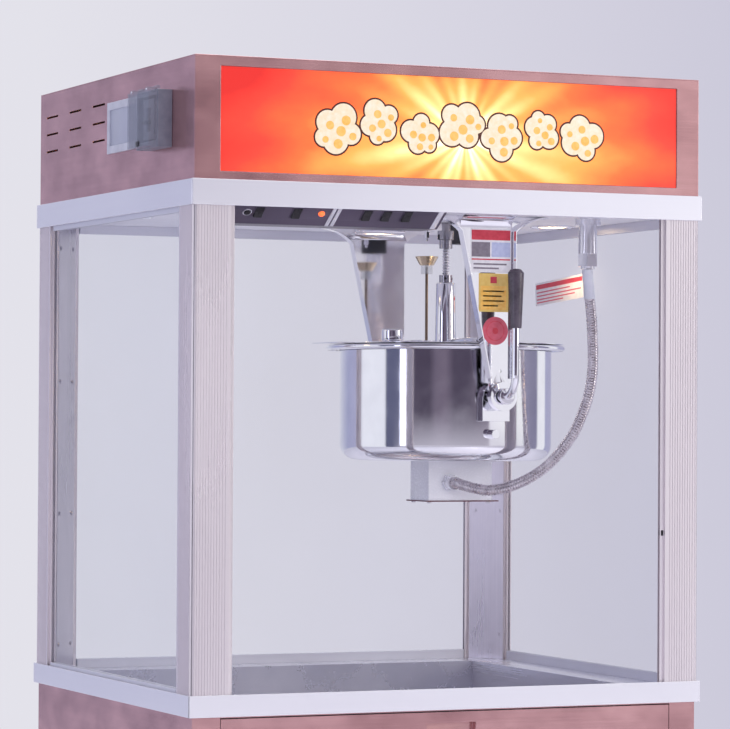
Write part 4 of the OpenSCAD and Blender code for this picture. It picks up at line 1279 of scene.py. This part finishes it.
@dataclass
class Arms:
    """The two hanging arms, with the labels on the front one and on the right pane."""

    def labels(self) -> None:
        """Sticks on the three labels of the front arm and the one on the right pane."""
        low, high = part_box("labels")
        face = Matrix.Rotation(math.radians(90), 4, "X")
        front = low.y + 0.0004
        upper = Label("arm_label_upper", (83.5, 81.5), PAPER, (
            (RED_INK, 2.0, 60.0, 81.5, 78.5), (GREY_INK, 2.0, 29.0, 40.0, 56.0),
            (BLUE_INK, 43.0, 29.0, 81.5, 56.0), (RED_INK, 2.0, 23.0, 81.5, 25.5),
            (GREY_INK, 6.0, 14.0, 74.0, 17.0), (GREY_INK, 6.0, 6.5, 58.0, 9.5)))
        upper.build(Matrix.Translation((low.x, front, 1.5455)) @ face, first=True)
        lower = Label("arm_label_lower", (61.0, 71.0), YELLOW_INK, (
            (RED_INK, 24.0, 53.0, 37.0, 65.0), (PUFF_BUTTER, 4.0, 4.0, 57.0, 48.0),
            (GREY_INK, 9.0, 37.0, 52.0, 39.5), (GREY_INK, 9.0, 28.0, 47.0, 30.5),
            (GREY_INK, 9.0, 19.0, 52.0, 21.5), (GREY_INK, 9.0, 10.0, 40.0, 12.5)))
        lower.build(Matrix.Translation((low.x + 0.017, front, 1.473)) @ face)
        outwards = Vector((0, -1, 0))
        centre = Vector((low.x + 0.0515, front, 1.438))
        extra("labels", "arm_label_disc", PINK_INK).turned(
            [(0, 0.02), (26, 0.02), (26, 0.2), (0, 0.2)], centre, outwards, 56)
        ring = bmesh.new()
        add_turned(ring, [(17, 0.18), (18.4, 0.18), (18.4, 0.3), (17, 0.3), (17, 0.18)], centre, outwards, 56)
        add_turned(ring, [(0, 0.18), (6, 0.18), (6, 0.3), (0, 0.3)], centre, outwards, 40)
        extra("labels", "arm_label_disc_marks", RED_INK).close(ring)
        tilt = Matrix.Rotation(math.radians(-3.5), 4, "X")
        turn = Matrix(((0, 0, -1, 0), (-1, 0, 0, 0), (0, 1, 0, 0), (0, 0, 0, 1)))
        pane = Label("pane_label", (206.0, 46.0), PAPER, (
            (RED_INK, 4.0, 33.0, 202.0, 42.0), (PINK_INK, 6.0, 25.0, 150.0, 27.5),
            (PINK_INK, 6.0, 18.0, 196.0, 20.5), (PINK_INK, 6.0, 11.0, 170.0, 13.5),
            (PINK_INK, 6.0, 5.0, 120.0, 7.5)))
        pane.build(Matrix.Translation((high.x, 0.12, 1.531)) @ tilt @ turn
                   @ Matrix.Translation((-0.103, -0.023, 0.0)))

    def build(self) -> None:
        """Builds the arms and their labels."""
        eased_copy("arm_front", "hanging_arm_front", MIRROR, 0.5)
        eased_copy("arm_rear", "hanging_arm_rear", MIRROR, 0.5)
        self.labels()


@dataclass
class Kettle:
    """The tipping kettle with its lids, tower, trunnions, lever, wiring box and oil funnel."""

    base_round_mm: float = 30.0
    shell_wall_mm: float = 1.5
    pan_wall_mm: float = 2.0
    pan_round_mm: float = 24.0
    brim_mm: float = 33.0
    lip_mm: float = 4.0
    rim_mm: float = 5.0
    hinge_mm: float = 19.0
    lid_cut_mm: float = 27.0
    pin_mm: float = 5.5
    lid_sheet_mm: float = 1.5
    knob_at_mm: float = 112.0
    knob_mm: float = 20.0
    tower_bore_mm: float = 4.56
    lever_bend_mm: float = 39.0
    hub_mm: float = 15.0
    rod_mm: float = 7.0
    centre: Vector = field(init=False)

    def __post_init__(self) -> None:
        """Finds the kettle's axis."""
        spot = middle("kettle_shell")
        self.centre = Vector((spot.x, spot.y, 0.0))

    def shell(self) -> None:
        """Spins the polished outer shell."""
        low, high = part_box("kettle_shell")
        radius = (high.x - low.x) / 2 / MM
        bottom, top = low.z / MM, high.z / MM
        ease, wall = self.base_round_mm, self.shell_wall_mm
        outline = ([(0.0, bottom)] + arc(radius - ease, bottom + ease, ease, -90, 0, 14)
                   + [(radius, top), (radius - wall, top)]
                   + arc(radius - ease, bottom + ease, ease - wall, 0, -90, 14) + [(0.0, bottom + wall)])
        piece_for("kettle_shell", "kettle_outer_shell", MIRROR).turned(outline, self.centre, steps=ROUND_STEPS)

    def pan(self) -> None:
        """Spins the inner pan with its rolled rim."""
        low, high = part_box("kettle_pan")
        rim = (high.x - low.x) / 2 / MM
        radius = rim - self.brim_mm
        bottom, top = low.z / MM, high.z / MM
        wall, roll = self.pan_wall_mm, self.rim_mm
        ease, lip = self.pan_round_mm, self.lip_mm
        under = top - 2 * roll
        outline = ([(0.0, bottom)] + arc(radius - ease, bottom + ease, ease, -90, 0, 12)
                   + [(radius, under + 1.6), (rim - roll, under + 1.6), (rim - roll, under)]
                   + arc(rim - roll, top - roll, roll, -90, 90, 12)
                   + arc(radius - wall + lip, top - lip, lip, 90, 180, 6)
                   + arc(radius - ease, bottom + ease, ease - wall, 0, -90, 12) + [(0.0, bottom + wall)])
        piece_for("kettle_pan", "kettle_inner_pan", MIRROR).turned(outline, self.centre, steps=ROUND_STEPS)

    def lid(self, side: str) -> None:
        """Builds one half lid: sheet, knuckles, knob and, on the left, its tab.

        Args:
            side: "left" or "right".
        """
        node = f"lid_{side}"
        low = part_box(node)[0]
        way = 1 if side == "right" else -1
        sheet_low = low.z
        hinge = Vector((self.centre.x + way * self.hinge_mm * MM, self.centre.y, sheet_low + self.pin_mm * MM))
        radius = (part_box("lid_right")[1].x - self.centre.x) / MM
        bm, disc = bmesh.new(), bmesh.new()
        bmesh.ops.create_circle(disc, cap_ends=True, radius=radius * MM, segments=160)
        whole = disc.verts[:] + disc.edges[:] + disc.faces[:]
        bmesh.ops.bisect_plane(disc, geom=whole, dist=1e-7, plane_co=(way * self.lid_cut_mm * MM, 0, 0),
                               plane_no=(way, 0, 0), clear_inner=True)
        grown = bmesh.ops.extrude_face_region(disc, geom=disc.faces[:])
        upper = [part for part in grown["geom"] if isinstance(part, bmesh.types.BMVert)]
        bmesh.ops.translate(disc, verts=upper, vec=(0, 0, self.lid_sheet_mm * MM))
        rims = [edge for edge in disc.edges if not edge.is_boundary and edge.calc_face_angle(0.0) > 1.0]
        bmesh.ops.bevel(disc, geom=rims, offset=0.4 * MM, segments=2, profile=0.5, affect="EDGES", material=-1)
        bmesh.ops.translate(disc, verts=disc.verts, vec=self.centre + Vector((0, 0, sheet_low)))
        join_part(bm, disc)
        for start in (-185.0, 75.0):
            add_turned(bm, [(3.1, start), (self.pin_mm - 0.3, start), (self.pin_mm, start + 0.6),
                            (self.pin_mm, start + 109.4), (self.pin_mm - 0.3, start + 110), (3.1, start + 110),
                            (3.1, start)], hinge, Vector((0, 1, 0)), 40)
            edge = hinge + Vector((way * 0.0046, start * MM, -self.pin_mm * MM))
            far = edge + Vector((way * 0.0050, 0.110, self.lid_sheet_mm * MM))
            near_x, far_x = sorted((edge.x, far.x))
            add_block(bm, Vector((near_x, edge.y, edge.z)), Vector((far_x, far.y, far.z)))
        knob = self.knob_mm
        place = self.centre + Vector((way * self.knob_at_mm * MM, 0, sheet_low))
        add_turned(bm, [(0, 0.5), (knob - 6, 0.5), (knob - 6, 5.0), (knob - 3, 6.5)]
                   + arc(knob - 3.0, 9.5, 3.0, -90, 0, 5) + arc(knob - 4.0, 25.0, 4.0, 0, 90, 6) + [(0, 29.0)],
                   place, steps=64)
        if side == "left":
            add_block(bm, Vector((low.x, self.centre.y - 0.06, sheet_low)),
                      Vector((low.x + 0.06, self.centre.y + 0.06, sheet_low + self.lid_sheet_mm * MM)), 0.5)
        piece_for(node, f"half_lid_{side}", MIRROR).close(bm)

    def bar(self) -> None:
        """Builds the bar across the rim with its lugs and pins, and the tower on it."""
        low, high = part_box("lid_bar")
        base = low.z
        x, y = self.centre.xy
        bm = bmesh.new()
        add_block(bm, Vector((x - 0.012, low.y, base)), Vector((x + 0.012, high.y, base + 0.005)), 0.8)
        for start in (-0.200, -0.062, 0.056, 0.194):
            add_block(bm, Vector((low.x, y + start, base)),
                      Vector((high.x, y + start + 0.006, base + 0.0108)), 0.8)
        for way in (-1, 1):
            for start in (-197.0, 58.0):
                add_turned(bm, rounded_stub(3.0, start, start + 139.0, 0.8),
                           Vector((x + way * 0.019, y, base + 0.0068)), Vector((0, 1, 0)), 32)
        piece_for("lid_bar", "lid_cross_bar", MIRROR).close(bm)
        height = (high.z - base) / MM
        bore = self.tower_bore_mm
        extra("lid_bar", "stirrer_tower", MIRROR).turned(
            [(bore, 0.0), (21.5, 0.0), (22.2, 0.8), (22.2, 4.6), (21.0, 5.6), (20.0, 6.4)]
            + arc(15.6, height - 2.4, 2.4, 10, 90, 5) + [(bore, height), (bore, 0.0)],
            Vector((x, y, base)), steps=96)

    def lever(self) -> None:
        """Builds the hub, the bent rod and the black grip."""
        low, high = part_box("kettle_lever")
        x = self.centre.x
        axle = Vector((x, high.y, low.z + self.hub_mm * MM))
        radius = self.rod_mm * MM
        upright = low.y + radius
        bend = self.lever_bend_mm * MM
        hub = bmesh.new()
        add_turned(hub, rounded_stub(self.hub_mm, 0.0, 8.0, 1.8), axle, Vector((0, -1, 0)), 56)
        turns = [math.radians(90 * step / 14) for step in range(15)]
        curve = [Vector((x, upright + bend * (1 - math.sin(turn)), axle.z + bend * (1 - math.cos(turn))))
                 for turn in turns]
        top = Vector((x, upright, high.z))
        rod = swept_mesh("rod", [*curve, top], radius, smooth=False, sides=8)
        hub.from_mesh(rod)
        bpy.data.meshes.remove(rod)
        piece_for("kettle_lever", "tipping_lever", CHROME).close(hub)
        length = (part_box("lever_grip")[1].z - top.z) / MM
        piece_for("lever_grip", "black_lever_grip", GRIP).turned(
            [(0, 0)] + arc(9.5, 1.5, 1.5, -90, 0, 4) + [(11.5, 10.0), (12.6, 40.0), (14.2, 78.0)]
            + arc(9.9, length - 9.0, 5.1, 0, 60, 6) + arc(5.6, length - 8.0, 8.0, 50, 90, 5)
            + [(0, length)], top, steps=56)

    def funnel(self) -> None:
        """Builds the oil funnel: thin tube, clear sleeve and brass coloured cup."""
        low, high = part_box("oil_funnel")
        place = Vector(((low.x + high.x) / 2, (low.y + high.y) / 2, 0.0))
        base, top = low.z / MM, high.z / MM
        piece_for("oil_funnel", "oil_funnel_cup", BRASS).turned(
            [(1.7, top - 18), (13.4, top - 17), (14.2, top - 16), (22.2, top - 1.4), (23.0, top - 0.6),
             (22.4, top), (21.4, top - 0.6), (12, top - 15), (1.7, top - 17), (1.7, top - 18)], place)
        extra("oil_funnel", "oil_funnel_sleeve", SLEEVE).turned(
            [(2.9, top - 34), (10.5, top - 34), (11.5, top - 33), (11.5, top - 17), (2.9, top - 17),
             (2.9, top - 34)], place, steps=48)
        extra("oil_funnel", "oil_funnel_tube", DARK_TUBE).turned(
            [(1.6, base), (3.6, base), (3.6, base + 8), (6, base + 8), (6, base + 11), (2.8, base + 11),
             (2.8, top - 20), (1.6, top - 20), (1.6, base)], place, steps=32)

    def build(self) -> None:
        """Builds the kettle."""
        self.shell()
        self.pan()
        self.lid("left")
        self.lid("right")
        self.bar()
        self.lever()
        self.funnel()
        eased_copy("trunnions", "trunnion_blocks", MIRROR, 0.8)
        eased_copy("terminal_box", "wiring_box", BOX_SHEET, 0.6)
        low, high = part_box("terminal_box")
        proud = Vector((0.0002, 0.0002, 0.0))
        extra("terminal_box", "wiring_box_plate_edge", PLATE).block(
            low + Vector((0, 0, 0.0028)) - proud, Vector((high.x, high.y, low.z + 0.0051)) + proud)
        eased_copy("hose_gland", "wiring_gland", FITTING, 0.6)
        keep("heater_plate", HEATER)


@dataclass
class Stirrer:
    """The stirrer: shaft with sweep, collar and dog, and the spring that holds the dog up."""

    coil_mm: float = 6.0
    wire_mm: float = 0.95
    turns: int = 9
    screw_drop_mm: float = 7.0
    collar_mm: float = 12.1

    def build(self) -> None:
        """Builds the stirrer and winds its spring."""
        eased_copy("agitator", "stirrer_shaft", TURNED, 0.5)
        low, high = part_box("agitator_spring")
        axis = middle("agitator_spring")
        rise = high.z - low.z - 2 * self.wire_mm * MM
        points = []
        for step in range(self.turns * 20 + 1):
            turn = math.tau * step / 20
            points.append(Vector((axis.x + self.coil_mm * MM * math.cos(turn),
                                  axis.y + self.coil_mm * MM * math.sin(turn),
                                  low.z + self.wire_mm * MM + rise * step / (self.turns * 20))))
        wire = swept_mesh("stirrer_spring", points, self.wire_mm * MM, smooth=False, sides=3)
        piece_for("agitator_spring", "stirrer_spring", SPRING).place(wire)
        self.screws()

    def screws(self) -> None:
        """Sets the two dark screws in the collar."""
        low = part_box("agitator_spring")[0]
        axis = middle("agitator_spring")
        bm = bmesh.new()
        for bearing in (-118.0, -30.0):
            turn = math.radians(bearing)
            way = Vector((math.cos(turn), math.sin(turn), 0.0))
            place = Vector((axis.x, axis.y, low.z - self.screw_drop_mm * MM)) + way * self.collar_mm * MM
            add_turned(bm, rounded_stub(2.6, 0.0, 0.9, 0.3), place, way, 20)
        extra("agitator", "collar_set_screws", BLACK).close(bm)


def main() -> None:
    """Builds the cart's sub-assemblies in order around the frame."""
    logging.basicConfig(level=logging.INFO, format="%(message)s")
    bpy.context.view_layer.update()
    Studio().build()
    Hose().build()
    for part in (Header(), TrimBands(), Posts(), Glazing(), Ceiling(), ControlPanel(), BreakerBox(), Deck(),
                 Base(), Casters(), Arms(), Kettle(), Stirrer()):
        part.build()
        log.info("%s is done", type(part).__name__)


if __name__ == "__main__":
    main()
